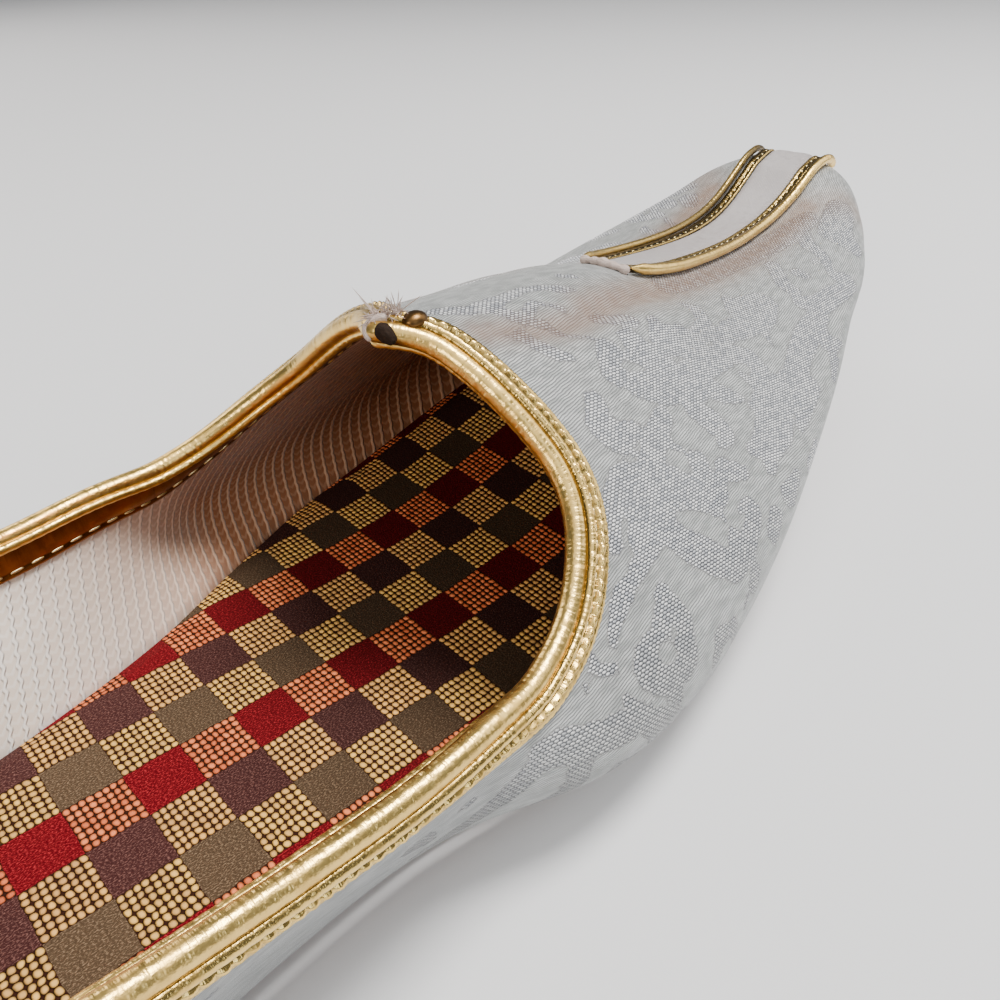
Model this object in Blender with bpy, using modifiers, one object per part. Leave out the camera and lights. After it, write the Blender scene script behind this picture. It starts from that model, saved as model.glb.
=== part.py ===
"""Mojari slip-on shoe with a turned-up toe: outsole, heel lift, insole, hollow upper, piped and bound
topline, and the trimmed strip that runs from the vamp to the tip of the toe. Toe towards +X, floor at z = 0."""
import bpy
import bmesh
import numpy as np
from mathutils import Vector

SHOE = "mojari shoe"
LENGTH = 0.298          # back of the heel to the tip of the toe
HALF_WIDTH = 0.0513     # centre line to the widest bulge beside the ball of the foot
THROAT = 0.0618         # floor to the top of the upper at the throat
WALL = 0.0020           # upper with its lining
GAP = 0.0003            # glue line between curved pieces
INSOLE = 0.0026
PIPING = 0.0016         # radius of the topline piping
STRIP_PIPING = 0.0011   # radius of the piping beside the toe strip
TRIM = 0.0006           # gold binding and strip leather
FACET = 0.0002          # allowance for the flats of the hollow side
BAND = 0.0034           # depth of the binding outside the topline
FACING = 0.0050         # depth of the binding inside it
STRIP_BAND = 0.0021     # width of the gold band beside the toe strip's piping
EDGE = 0.0005           # broken edges of the sole, the heel and the insole
LIFT_INSET = 0.0008     # heel lift inside the outsole

# Sections of the last from the back of the heel to the tip of the toe. Centre is a share of LENGTH,
# angle turns the section about the up axis, radii are shares of HALF_WIDTH, heights of THROAT.
STATION_COLUMNS = ("centre", "angle", "foot", "bulge", "lift", "flank", "flank_z", "shoulder", "shoulder_z", "ridge")
STATIONS = np.array((
    (0.125, 180, 0.676, 0.724, 0.237, 0.705, 0.633, 0.629, 0.949, 1.234),
    (0.125, 150, 0.657, 0.695, 0.237, 0.676, 0.633, 0.610, 0.934, 1.218),
    (0.125, 120, 0.600, 0.645, 0.237, 0.645, 0.601, 0.600, 0.886, 1.187),
    (0.139,  96, 0.556, 0.612, 0.222, 0.643, 0.558, 0.615, 0.828, 1.143),
    (0.197,  90, 0.541, 0.606, 0.185, 0.682, 0.522, 0.667, 0.759, 1.108),
    (0.279,  90, 0.552, 0.630, 0.174, 0.733, 0.498, 0.724, 0.696, 1.076),
    (0.367,  90, 0.622, 0.742, 0.170, 0.800, 0.475, 0.762, 0.649, 1.052),
    (0.436,  90, 0.743, 0.940, 0.164, 0.829, 0.459, 0.667, 0.657, 1.028),
    (0.502,  90, 0.838, 1.000, 0.158, 0.838, 0.475, 0.571, 0.720, 1.000),
    (0.567,  90, 0.857, 0.985, 0.158, 0.819, 0.491, 0.514, 0.744, 0.953),
    (0.633,  90, 0.819, 0.945, 0.158, 0.790, 0.506, 0.476, 0.736, 0.902),
    (0.698,  90, 0.733, 0.878, 0.150, 0.733, 0.530, 0.429, 0.696, 0.813),
    (0.764,  90, 0.629, 0.796, 0.142, 0.657, 0.570, 0.371, 0.680, 0.753),
    (0.830,  90, 0.514, 0.695, 0.134, 0.581, 0.625, 0.314, 0.684, 0.715),
    (0.882,  90, 0.429, 0.629, 0.127, 0.514, 0.665, 0.276, 0.709, 0.718),
    (0.921,  90, 0.343, 0.552, 0.127, 0.448, 0.712, 0.248, 0.756, 0.759),
    (0.952,  86, 0.275, 0.460, 0.127, 0.375, 0.767, 0.229, 0.820, 0.820),
    (0.967,  62, 0.205, 0.352, 0.127, 0.296, 0.788, 0.195, 0.842, 0.841),
    (0.970,  31, 0.132, 0.225, 0.127, 0.200, 0.794, 0.140, 0.845, 0.842),
    (0.970,   0, 0.105, 0.178, 0.127, 0.163, 0.796, 0.116, 0.845, 0.842)))
STATION_UNITS = np.array((LENGTH, np.pi / 180, HALF_WIDTH, HALF_WIDTH, THROAT, HALF_WIDTH, THROAT, HALF_WIDTH, THROAT, THROAT))
LAST_ROW = len(STATIONS) - 1
TOE_ROW = 16.0          # from here the sections fan out about one point

# Rim of the upper: station row, share of the way up that section, and the row at which its rib meets the sole.
RIM_COLUMNS = ("row", "up", "foot_row")
RIM = np.array((
    (0.00, 0.539, 0.0), (1.00, 0.533, 1.0), (2.00, 0.512, 2.0), (3.10, 0.467, 3.0), (4.25, 0.398, 4.0),
    (4.93, 0.362, 4.65), (5.25, 0.349, 5.0), (5.77, 0.336, 5.6), (6.50, 0.348, 6.5), (6.92, 0.384, 7.0),
    (7.36, 0.444, 7.5), (7.75, 0.530, 8.0), (7.94, 0.614, 8.4), (7.97, 0.709, 8.85), (7.90, 0.841, 9.35),
    (7.82, 0.919, 9.75), (7.62, 1.000, 10.0)))
RIDGE = np.array((
    (8.3, 1, 10.35), (9.0, 1, 10.8), (9.8, 1, 11.3), (10.6, 1, 11.8), (11.5, 1, 12.4), (12.4, 1, 13.0),
    (13.3, 1, 13.7), (14.2, 1, 14.4), (15.0, 1, 15.1), (16.0, 1, 16.0), (17.0, 1, 17.0), (18.0, 1, 18.0), (19.0, 1, 19.0)))

# Profiles along the shoe: share of LENGTH, share of THROAT.
SOLE_TOP = np.array((
    (0.000, 0.223), (0.115, 0.185), (0.262, 0.134), (0.377, 0.097), (0.449, 0.073), (0.485, 0.066), (0.525, 0.070), (0.564, 0.085),
    (0.613, 0.130), (0.666, 0.203), (0.728, 0.291), (0.793, 0.373), (0.859, 0.443), (0.925, 0.500), (1.000, 0.546)))
SOLE_BOTTOM = np.array((
    (0.000, 0.157), (0.115, 0.119), (0.262, 0.068), (0.377, 0.030), (0.433, 0.008), (0.459, 0.000), (0.544, 0.000), (0.564, 0.015),
    (0.613, 0.064), (0.666, 0.137), (0.728, 0.225), (0.793, 0.307), (0.859, 0.377), (0.925, 0.434), (1.000, 0.480)))
# How far the outsole stands out past the foot of the last: share of LENGTH, share of HALF_WIDTH.
WELT = np.array(((0.000, 0.016), (0.150, 0.000), (0.250, -0.045), (0.420, -0.045), (0.520, 0.000), (0.650, 0.020), (1.000, 0.026)))
HEEL_FRONT = 0.225      # share of LENGTH
INSOLE_FRONT = 0.925

# Piping line beside the toe strip: share of LENGTH, share of HALF_WIDTH.
STRIP = np.array((
    (0.679, 0.099), (0.705, 0.129), (0.741, 0.145), (0.803, 0.147), (0.856, 0.149), (0.895, 0.158),
    (0.934, 0.170), (0.967, 0.174), (0.990, 0.174), (0.998, 0.170)))

MERGE = 2e-6            # points nearer than this are one point
BEVEL_ANGLE = np.radians(50)

COLOURS = {
    "outsole": ((0.33, 0.20, 0.11), 0.6), "heel_lift": ((0.24, 0.14, 0.08), 0.6), "insole": ((0.62, 0.40, 0.26), 0.9),
    "upper": ((0.80, 0.79, 0.77), 0.5), "gold": ((0.83, 0.60, 0.25), 0.3), "strip": ((0.82, 0.80, 0.78), 0.5)}


def along(table, at):
    """Monotone curve through the two columns of a table."""
    xs, ys = table[:, 0], table[:, 1]
    step, rise = np.diff(xs), np.diff(ys) / np.diff(xs)
    slope = np.zeros(len(xs))
    total = rise[:-1] + rise[1:]
    same_way = rise[:-1] * rise[1:] > 0
    slope[1:-1][same_way] = 2 * (rise[:-1] * rise[1:])[same_way] / total[same_way]
    slope[0], slope[-1] = rise[0], rise[-1]
    k = np.clip(np.searchsorted(xs, at, side="right") - 1, 0, len(xs) - 2)
    t = (at - xs[k]) / step[k]
    return ((2 * t**3 - 3 * t**2 + 1) * ys[k] + (t**3 - 2 * t**2 + t) * step[k] * slope[k]
            + (3 * t**2 - 2 * t**3) * ys[k + 1] + (t**3 - t**2) * step[k] * slope[k + 1])


def through(rows, at):
    """Smooth curve through evenly spaced rows."""
    k = np.clip(np.floor(at).astype(int), 0, len(rows) - 2)
    t = (np.clip(at, 0, len(rows) - 1) - k)[..., None]
    slope = np.gradient(rows, axis=0)
    return ((2 * t**3 - 3 * t**2 + 1) * rows[k] + (t**3 - 2 * t**2 + t) * slope[k]
            + (3 * t**2 - 2 * t**3) * rows[k + 1] + (t**3 - t**2) * slope[k + 1])


def sole_top(x):
    return THROAT * along(SOLE_TOP, np.clip(x / LENGTH, 0, 1))


def sole_bottom(x):
    return THROAT * along(SOLE_BOTTOM, np.clip(x / LENGTH, 0, 1))


def station(row):
    values = through(STATIONS * STATION_UNITS, row)
    column = dict(zip(STATION_COLUMNS, np.moveaxis(values, -1, 0)))
    rows = np.arange(LAST_ROW + 1.0)
    for k, name in enumerate(STATION_COLUMNS[:2]):
        column[name] = along(np.stack((rows, STATIONS[:, k] * STATION_UNITS[k]), 1), row)
    return column


def last_point(row, up):
    """Point of the last's left half. up runs from 0 at the sole to 1 on the centre line, in equal steps of length."""
    row, up = np.broadcast_arrays(np.asarray(row, float), np.asarray(up, float))
    s = station(row)
    foot_z = sole_top(s["centre"] + s["foot"] * np.cos(s["angle"]))
    radius = np.stack((s["foot"], s["bulge"], s["flank"], s["shoulder"], 0 * row, -s["shoulder"]), -1)
    height = np.stack((foot_z, foot_z + s["lift"], s["flank_z"], s["shoulder_z"], s["ridge"], s["shoulder_z"]), -1)
    points = np.stack((radius, height), -1)
    chord = np.linalg.norm(np.diff(points, axis=-2), axis=-1)
    knot = np.concatenate((np.zeros(row.shape + (1,)), np.cumsum(chord, -1)), -1)
    leg = np.diff(points, axis=-2) / chord[..., None]
    share = (chord[..., 1:] / (chord[..., :-1] + chord[..., 1:]))[..., None]
    tangent = np.empty_like(points[..., :5, :])
    tangent[..., 1:, :] = leg[..., :-1, :] * share + leg[..., 1:, :] * (1 - share)
    tangent[..., 0, :] = 1.5 * leg[..., 0, :] - 0.5 * tangent[..., 1, :]
    at = up * knot[..., 4]
    result = points[..., 0, :].copy()
    for k in range(4):
        t = np.clip((at - knot[..., k]) / chord[..., k], 0, 1)[..., None]
        piece = ((2 * t**3 - 3 * t**2 + 1) * points[..., k, :] + (t**3 - 2 * t**2 + t) * chord[..., k, None] * tangent[..., k, :]
                 + (3 * t**2 - 2 * t**3) * points[..., k + 1, :] + (t**3 - t**2) * chord[..., k, None] * tangent[..., k + 1, :])
        result = np.where((at >= knot[..., k])[..., None], piece, result)
    return np.stack((s["centre"] + result[..., 0] * np.cos(s["angle"]), result[..., 0] * np.sin(s["angle"]), result[..., 1]), -1)


def outward(row, up):
    """Unit normal of the last, made even across the centre line."""
    row, up = np.broadcast_arrays(np.asarray(row, float), np.asarray(up, float))
    middle = up > 0.999
    row = np.where(middle & (row > TOE_ROW), TOE_ROW, row)
    u = np.clip(up, 0.004, 0.99)
    forward = last_point(np.clip(row + 0.02, 0, LAST_ROW), u) - last_point(np.clip(row - 0.02, 0, LAST_ROW), u)
    rising = last_point(row, u + 0.004) - last_point(row, u - 0.004)
    normal = np.cross(rising, forward)
    normal[..., 1] = np.where(middle | (row < 0.01) | (row > LAST_ROW - 0.01), 0, normal[..., 1])
    return normal / np.linalg.norm(normal, axis=-1, keepdims=True)


def skin(row, up, height):
    """Upper's own face, raised (or lowered) along its normal. The edge on the sole stays level."""
    point = last_point(row, up)
    moved = point + outward(row, up) * height
    level = np.asarray(up) < 1e-6
    moved[..., 2] = np.where(level, point[..., 2], moved[..., 2])
    return moved


def settle(target, row, up):
    """Row and share of the point of the last nearest to each target."""
    for _ in range(8):
        at = last_point(row, up)
        by_row = (last_point(row + 0.01, up) - at) / 0.01
        by_up = (at - last_point(row, up - 0.002)) / 0.002
        miss = target - at
        a, b, c = (by_row * by_row).sum(-1), (by_row * by_up).sum(-1), (by_up * by_up).sum(-1)
        p, q = (miss * by_row).sum(-1), (miss * by_up).sum(-1)
        det = a * c - b * b
        row = np.clip(row + (c * p - b * q) / det, 0, LAST_ROW)
        up = np.clip(up + (a * q - b * p) / det, 0.01, 1)
    return row, up


def sheet(name, points, colour, outwards=True):
    """Grid laid through rows of points. Its faces look to the side that the modifiers leave outside."""
    along_count, across_count = points.shape[0] - 1, points.shape[1] - 1
    bm = bmesh.new()
    bmesh.ops.create_grid(bm, x_segments=along_count, y_segments=across_count, size=0.5)
    for vert in bm.verts:
        i, j = round((vert.co.x + 0.5) * along_count), round((vert.co.y + 0.5) * across_count)
        vert.co = points[i, j]
    if not outwards:
        bmesh.ops.reverse_faces(bm, faces=bm.faces)
    mesh = bpy.data.meshes.new(name)
    bm.to_mesh(mesh)
    bm.free()
    return place(name, mesh, colour)


def place(name, data, colour):
    """Object of a mesh or curve in the shoe's collection, with its own material."""
    material = bpy.data.materials.new(name)
    material.use_nodes = True
    shader = material.node_tree.nodes["Principled BSDF"]
    rgb, rough = COLOURS[colour]
    shader.inputs["Base Color"].default_value = (*rgb, 1)
    shader.inputs["Roughness"].default_value = rough
    shader.inputs["Metallic"].default_value = 1.0 if colour == "gold" else 0.0
    data.materials.append(material)
    obj = bpy.data.objects.new(name, data)
    bpy.data.collections[SHOE].objects.link(obj)
    if obj.type == "MESH":
        data.shade_smooth()
    return obj


def modify(obj, kind, **settings):
    modifier = obj.modifiers.new(kind.title(), kind)
    for key, value in settings.items():
        setattr(modifier, key, value)


def mirror(obj):
    modify(obj, "MIRROR", use_axis=(False, True, False), use_clip=True, merge_threshold=MERGE)


def thicken(obj, thickness, offset):
    """Solidify: offset -1 grows behind the faces, 1 in front of them."""
    modify(obj, "SOLIDIFY", thickness=thickness, offset=offset, use_even_offset=False)


def cord(name, line, radius, colour, closed):
    """Round cord: a curve with a bevel, joined end to end or capped."""
    curve = bpy.data.curves.new(name, "CURVE")
    curve.dimensions = "3D"
    spline = curve.splines.new("POLY")
    spline.points.add(len(line) - 1)
    for point, spot in zip(spline.points, line):
        point.co = (*spot, 1)
    spline.use_cyclic_u = closed
    curve.bevel_depth, curve.bevel_resolution, curve.use_fill_caps = radius, 1, not closed
    return place(name, curve, colour)


def rib_ends():
    """Rim and ridge ends of the ribs, and how many of them lie on the rim."""
    on_rim = through(RIM, np.linspace(0, len(RIM) - 1, 37))
    ridge = np.concatenate((RIM[-1:], RIDGE))
    on_ridge = through(ridge, np.linspace(0, len(ridge) - 1, 20))[1:]
    on_ridge[:, 1] = 1
    on_rim[-1] = RIM[-1]
    return np.concatenate((on_rim, on_ridge)), len(on_rim)


def build_upper():
    """Half of the upper as one open sheet, mirrored and then given its wall."""
    ends, rim_count = rib_ends()
    steps = np.linspace(0, 1, 13)
    row = ends[:, 2:3] + (ends[:, 0:1] - ends[:, 2:3]) * steps**1.6
    up = ends[:, 1:2] * steps
    face = skin(row, up, 0.0)
    face[0, :, 1] = face[-1, :, 1] = 0.0
    face[rim_count - 1:, -1, 1] = 0.0
    upper = sheet("upper", face, "upper", outwards=False)
    mirror(upper)
    thicken(upper, WALL, -1)


def rim_ring(count=46):
    """Points once round the opening with their rows, shares, sides, normals and the way down the upper."""
    half = through(RIM, np.linspace(0, len(RIM) - 1, count))
    half[-1] = RIM[-1]
    row = np.concatenate((half[:, 0], half[-2:0:-1, 0]))
    up = np.concatenate((half[:, 1], half[-2:0:-1, 1]))
    side = np.concatenate((np.ones(count), -np.ones(count - 2)))
    flip = np.stack((np.ones_like(side), side, np.ones_like(side)), 1)
    point = last_point(row, up) * flip
    normal = outward(row, up) * flip
    ahead = np.roll(point, -1, 0) - np.roll(point, 1, 0)
    down = np.cross(normal, ahead)
    down /= np.linalg.norm(down, axis=1, keepdims=True)
    lower = last_point(row, up - 0.02) * flip - point
    down *= np.sign((down * lower).sum(1).mean())
    return row, up, flip, point, normal, down


def band(name, depth, height, outwards):
    """Flat band that follows the rim at a height over the upper's face: half of it, mirrored and thickened."""
    row, up, flip, point, normal, down = rim_ring()
    half = len(row) // 2 + 1
    lines = []
    for share in (0.0, 0.5, 1.0):
        target = (point + down * depth * share) * flip
        at_row, at_up = settle(target, row.copy(), up - 0.05 * share)
        line = skin(at_row, at_up, height)[:half]
        line[0, 1] = line[-1, 1] = 0.0
        lines.append(line)
    strip = sheet(name, np.stack(lines, 1), "gold", outwards)
    mirror(strip)
    thicken(strip, TRIM, 1)


def build_topline():
    row, up, flip, point, normal, down = rim_ring()
    cord("topline_piping", point - normal * WALL / 2 - down * (PIPING + GAP), PIPING, "gold", True)
    band("topline_binding", BAND, GAP, True)
    band("topline_facing", FACING, -WALL - GAP - FACET, False)


def roof(x, y):
    """Row and share of the last's top face above plan points of its left half."""
    rows, ups = np.meshgrid(np.linspace(10, LAST_ROW, 500), np.linspace(0.3, 1, 160), indexing="ij")
    plan = last_point(rows, ups)[..., :2]
    row, up = np.empty(len(x)), np.empty(len(x))
    for k, place in enumerate(np.stack((x, y), 1)):
        nearest = np.unravel_index(((plan - place) ** 2).sum(-1).argmin(), rows.shape)
        row[k], up[k] = rows[nearest], ups[nearest]
    for _ in range(4):
        at = last_point(row, up)[:, :2]
        by_row = (last_point(np.minimum(row + 0.01, LAST_ROW), up)[:, :2] - last_point(row - 0.01, up)[:, :2]) / (np.minimum(row + 0.01, LAST_ROW) - row + 0.01)[:, None]
        by_up = (at - last_point(row, up - 0.002)[:, :2]) / 0.002
        miss = np.stack((x, y), 1) - at
        det = by_row[:, 0] * by_up[:, 1] - by_row[:, 1] * by_up[:, 0]
        det = np.where(np.abs(det) < 1e-9, np.inf, det)
        row = np.clip(row + np.clip((miss[:, 0] * by_up[:, 1] - miss[:, 1] * by_up[:, 0]) / det, -0.02, 0.02), 0, LAST_ROW)
        up = np.clip(up + np.clip((miss[:, 1] * by_row[:, 0] - miss[:, 0] * by_row[:, 1]) / det, -0.005, 0.005), 0.3, 1)
    return row, up


def build_toe_strip():
    length = np.concatenate((np.linspace(STRIP[0, 0], 0.95, 18), np.linspace(0.962, STRIP[-1, 0], 6)))
    width = along(STRIP, length) * HALF_WIDTH
    x = length * LENGTH

    def line(offset, height, share=1.0):
        row, up = roof(x, np.maximum(width + offset, 0) * share)
        return skin(row, up, height)

    edge = STRIP_PIPING + GAP
    piping = line(0.0, GAP + STRIP_PIPING)
    flat = np.stack([line(-edge - share * STRIP_BAND, GAP) for share in (0, 1)], 1)
    for side, flip in (("left", 1.0), ("right", -1.0)):
        turn = np.array((1.0, flip, 1.0))
        cord("toe_piping_" + side, piping * turn, STRIP_PIPING, "gold", False)
        thicken(sheet("toe_band_" + side, flat * turn, "gold", flip < 0), TRIM, 1)
    panel = np.stack([line(-edge - STRIP_BAND - GAP, GAP, share) for share in (1.0, 0.5, 0.0)], 1)
    panel[:, -1, 1] = 0.0
    panel = sheet("toe_panel", panel, "strip", False)
    mirror(panel)
    thicken(panel, TRIM, 1)


def outline(inset, welt=False):
    """Plan outline of the foot of the last, moved outwards or inwards: half width at each x."""
    s = station(np.linspace(0, LAST_ROW, 600))
    reach = s["foot"] + inset
    if welt:
        at = s["centre"] + s["foot"] * np.cos(s["angle"])
        reach = reach + HALF_WIDTH * along(WELT, np.clip(at / LENGTH, 0, 1))
    return s["centre"] + reach * np.cos(s["angle"]), reach * np.sin(s["angle"])


def slab(name, outline_line, start, end, low, high, colour, count=38):
    """Flat piece cut to the outline, raised from its lower profile to its upper one, with broken edges."""
    x, y = outline_line
    start = x.min() + EDGE / 2 if start is None else start
    end = x.max() - EDGE / 2 if end is None else end
    places = start + (end - start) * (1 - np.cos(np.linspace(0, np.pi, count))) / 2
    half = np.interp(places, x, y)
    shares = (-1.0, -0.5, 0.0, 0.5, 1.0)
    plan = np.array([[(px, w * share, low(px)) for share in shares] for px, w in zip(places, half)])
    piece = sheet(name, plan, colour, outwards=False)
    bm = bmesh.new()
    bm.from_mesh(piece.data)
    raised = bmesh.ops.extrude_face_region(bm, geom=bm.faces[:])["geom"]
    for vert in (item for item in raised if isinstance(item, bmesh.types.BMVert)):
        vert.co.z = high(vert.co.x)
    bmesh.ops.recalc_face_normals(bm, faces=bm.faces)
    bm.to_mesh(piece.data)
    bm.free()
    modify(piece, "BEVEL", width=EDGE, segments=1, limit_method="ANGLE", angle_limit=BEVEL_ANGLE)


def main():
    for obj in list(bpy.data.objects):
        bpy.data.objects.remove(obj, do_unlink=True)
    shoe = bpy.data.collections.new(SHOE)
    bpy.context.scene.collection.children.link(shoe)
    slab("outsole", outline(0.0, True), None, None, sole_bottom, lambda x: sole_top(x) - GAP, "outsole")
    slab("heel_lift", outline(-LIFT_INSET, True), None, HEEL_FRONT * LENGTH, lambda x: 0.0, lambda x: sole_bottom(x) - GAP, "heel_lift", 18)
    slab("insole", outline(-WALL - GAP), None, INSOLE_FRONT * LENGTH, lambda x: sole_top(x), lambda x: sole_top(x) + INSOLE, "insole")
    build_upper()
    build_topline()
    build_toe_strip()
    bpy.context.view_layer.update()
    corners = [obj.matrix_world @ Vector(corner) for obj in shoe.objects for corner in obj.bound_box]
    middle = bpy.data.objects.new("middle_of_the_shoe", None)
    shoe.objects.link(middle)
    middle.location.x = -(min(c.x for c in corners) + max(c.x for c in corners)) / 2
    for obj in shoe.objects:
        if obj != middle:
            obj.parent = middle


main()
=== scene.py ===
"""Mojari slip-on shoe with a turned-up toe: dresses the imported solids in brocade, gold foil leather,
check cloth and sole leather, and lights them on a pale floor. Metres, toe towards +X, floor at z = 0."""
import bpy
import bmesh
import numpy as np
from mathutils import Matrix, Vector


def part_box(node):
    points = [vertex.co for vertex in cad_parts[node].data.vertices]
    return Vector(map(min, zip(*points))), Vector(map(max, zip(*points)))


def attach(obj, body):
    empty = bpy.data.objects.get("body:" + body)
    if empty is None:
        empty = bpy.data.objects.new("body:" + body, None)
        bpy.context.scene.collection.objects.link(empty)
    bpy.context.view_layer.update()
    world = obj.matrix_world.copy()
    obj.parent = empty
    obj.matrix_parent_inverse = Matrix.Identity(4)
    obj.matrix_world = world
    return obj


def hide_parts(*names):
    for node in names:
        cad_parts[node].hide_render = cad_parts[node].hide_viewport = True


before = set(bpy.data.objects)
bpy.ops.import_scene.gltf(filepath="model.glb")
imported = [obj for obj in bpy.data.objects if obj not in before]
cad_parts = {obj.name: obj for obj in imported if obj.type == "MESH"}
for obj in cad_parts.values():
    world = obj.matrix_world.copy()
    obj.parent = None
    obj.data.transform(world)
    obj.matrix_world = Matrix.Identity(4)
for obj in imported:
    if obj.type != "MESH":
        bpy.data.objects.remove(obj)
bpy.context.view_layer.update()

# Studio. A pale floor, six soft lamps and a dim even sky. The camera stands close above the heel
# on the near side and looks along the shoe towards the turned-up toe.
# Each lamp is (name, place, target, size, watts, tint).
EYE = (-0.0841, -0.0812, 0.1126)
EYE_TURN, EYE_DIP, EYE_ROLL = np.radians((-51.66, 36.32, -1.31))
FOCAL_SHARE = 0.85      # focal length as a share of the picture's width
FLOOR_HALF = 30.0
SKY, SKY_STRENGTH = (0.86, 0.91, 1.0), 0.14
FLOOR_PALE = (0.74, 0.74, 0.75)
LAMPS = (("key_lamp", (0.34, -0.16, 0.98), (-0.02, 0.0, 0.02), 0.38, 15.5, (1.0, 0.98, 0.95)),
         ("toe_lamp", (0.95, -0.45, 0.60), (0.03, 0.0, 0.02), 1.00, 5.0, (1.0, 0.99, 0.97)),
         ("ceiling_lamp", (-0.30, -0.30, 1.30), (0.0, 0.0, 0.02), 1.50, 6.5, (1.0, 0.99, 0.97)),
         ("heel_lamp", (-0.75, -0.12, 0.42), (0.05, 0.0, 0.02), 0.30, 2.8, (1.0, 0.95, 0.88)),
         ("far_lamp", (0.10, 0.95, 0.50), (0.05, 0.0, 0.02), 0.60, 3.5, (1.0, 0.95, 0.90)),
         ("side_lamp", (-0.25, -0.95, 0.55), (0.0, 0.0, 0.03), 0.60, 2.5, (0.86, 0.93, 1.0)))

camera = bpy.data.objects.new("camera", bpy.data.cameras.new("camera"))
camera.data.sensor_width = 36.0
camera.data.lens = 36.0 * FOCAL_SHARE
camera.data.clip_start, camera.data.clip_end = 0.005, 50.0
camera.matrix_world = (Matrix.Translation(EYE) @ Matrix.Rotation(EYE_TURN, 4, "Z")
                       @ Matrix.Rotation(np.pi / 2 - EYE_DIP, 4, "X") @ Matrix.Rotation(EYE_ROLL, 4, "Z"))
bpy.context.scene.collection.objects.link(camera)
bpy.context.scene.camera = camera

sky = bpy.data.worlds.new("sky")
sky.use_nodes = True
sky.node_tree.nodes["Background"].inputs["Color"].default_value = (*SKY, 1)
sky.node_tree.nodes["Background"].inputs["Strength"].default_value = SKY_STRENGTH
bpy.context.scene.world = sky

for name, place, target, size, watts, tint in LAMPS:
    lamp = bpy.data.lights.new(name, "AREA")
    lamp.shape, lamp.size, lamp.energy, lamp.color = "DISK", size, watts, tint
    stand = bpy.data.objects.new(name, lamp)
    stand.location = place
    stand.rotation_euler = (Vector(target) - Vector(place)).to_track_quat("-Z", "Y").to_euler()
    bpy.context.scene.collection.objects.link(stand)

floor_mesh = bpy.data.meshes.new("floor")
floor_bm = bmesh.new()
bmesh.ops.create_grid(floor_bm, x_segments=1, y_segments=1, size=FLOOR_HALF)
floor_bm.to_mesh(floor_mesh)
floor_bm.free()
floor_finish = bpy.data.materials.new("pale_floor")
floor_finish.use_nodes = True
floor_shader = floor_finish.node_tree.nodes["Principled BSDF"]
floor_shader.inputs["Base Color"].default_value = (*FLOOR_PALE, 1)
floor_shader.inputs["Roughness"].default_value = 0.65
floor_mesh.materials.append(floor_finish)
floor = bpy.data.objects.new("floor", floor_mesh)
floor.location.z = -0.0002
bpy.context.scene.collection.objects.link(floor)

# Sole leather. The shoe is made on a wooden last, so its sections come first: every piece is drawn on
# them. The outsole is one thickness of tan leather, with an arched waist that draws in under the
# upper, and toe spring; the heel is a low stack of three lifts.
MM = 0.001
LENGTH, HALF_WIDTH, THROAT = 0.298, 0.0513, 0.0618
WALL, GAP, INSOLE, EDGE, LIFT_INSET = 0.0020, 0.0003, 0.0026, 0.0005, 0.0008
STATION_COLUMNS = ("centre", "angle", "foot", "bulge", "lift",
                   "flank", "flank_z", "shoulder", "shoulder_z", "ridge")
STATIONS = np.array((
    (0.125, 180, 0.676, 0.724, 0.237, 0.705, 0.633, 0.629, 0.949, 1.234),
    (0.125, 150, 0.657, 0.695, 0.237, 0.676, 0.633, 0.610, 0.934, 1.218),
    (0.125, 120, 0.600, 0.645, 0.237, 0.645, 0.601, 0.600, 0.886, 1.187),
    (0.139,  96, 0.556, 0.612, 0.222, 0.643, 0.558, 0.615, 0.828, 1.143),
    (0.197,  90, 0.541, 0.606, 0.185, 0.682, 0.522, 0.667, 0.759, 1.108),
    (0.279,  90, 0.552, 0.630, 0.174, 0.733, 0.498, 0.724, 0.696, 1.076),
    (0.367,  90, 0.622, 0.742, 0.170, 0.800, 0.475, 0.762, 0.649, 1.052),
    (0.436,  90, 0.743, 0.940, 0.164, 0.829, 0.459, 0.667, 0.657, 1.028),
    (0.502,  90, 0.838, 1.000, 0.158, 0.838, 0.475, 0.571, 0.720, 1.000),
    (0.567,  90, 0.857, 0.985, 0.158, 0.819, 0.491, 0.514, 0.744, 0.953),
    (0.633,  90, 0.819, 0.945, 0.158, 0.790, 0.506, 0.476, 0.736, 0.902),
    (0.698,  90, 0.733, 0.878, 0.150, 0.733, 0.530, 0.429, 0.696, 0.813),
    (0.764,  90, 0.629, 0.796, 0.142, 0.657, 0.570, 0.371, 0.680, 0.753),
    (0.830,  90, 0.514, 0.695, 0.134, 0.581, 0.625, 0.314, 0.684, 0.715),
    (0.882,  90, 0.429, 0.629, 0.127, 0.514, 0.665, 0.276, 0.709, 0.718),
    (0.921,  90, 0.343, 0.552, 0.127, 0.448, 0.712, 0.248, 0.756, 0.759),
    (0.952,  86, 0.275, 0.460, 0.127, 0.375, 0.767, 0.229, 0.820, 0.820),
    (0.967,  62, 0.205, 0.352, 0.127, 0.296, 0.788, 0.195, 0.842, 0.841),
    (0.970,  31, 0.132, 0.225, 0.127, 0.200, 0.794, 0.140, 0.845, 0.842),
    (0.970,   0, 0.105, 0.178, 0.127, 0.163, 0.796, 0.116, 0.845, 0.842)))
STATION_UNITS = np.array((LENGTH, np.pi / 180, HALF_WIDTH, HALF_WIDTH, THROAT,
                          HALF_WIDTH, THROAT, HALF_WIDTH, THROAT, THROAT))
LAST_ROW = len(STATIONS) - 1
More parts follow.
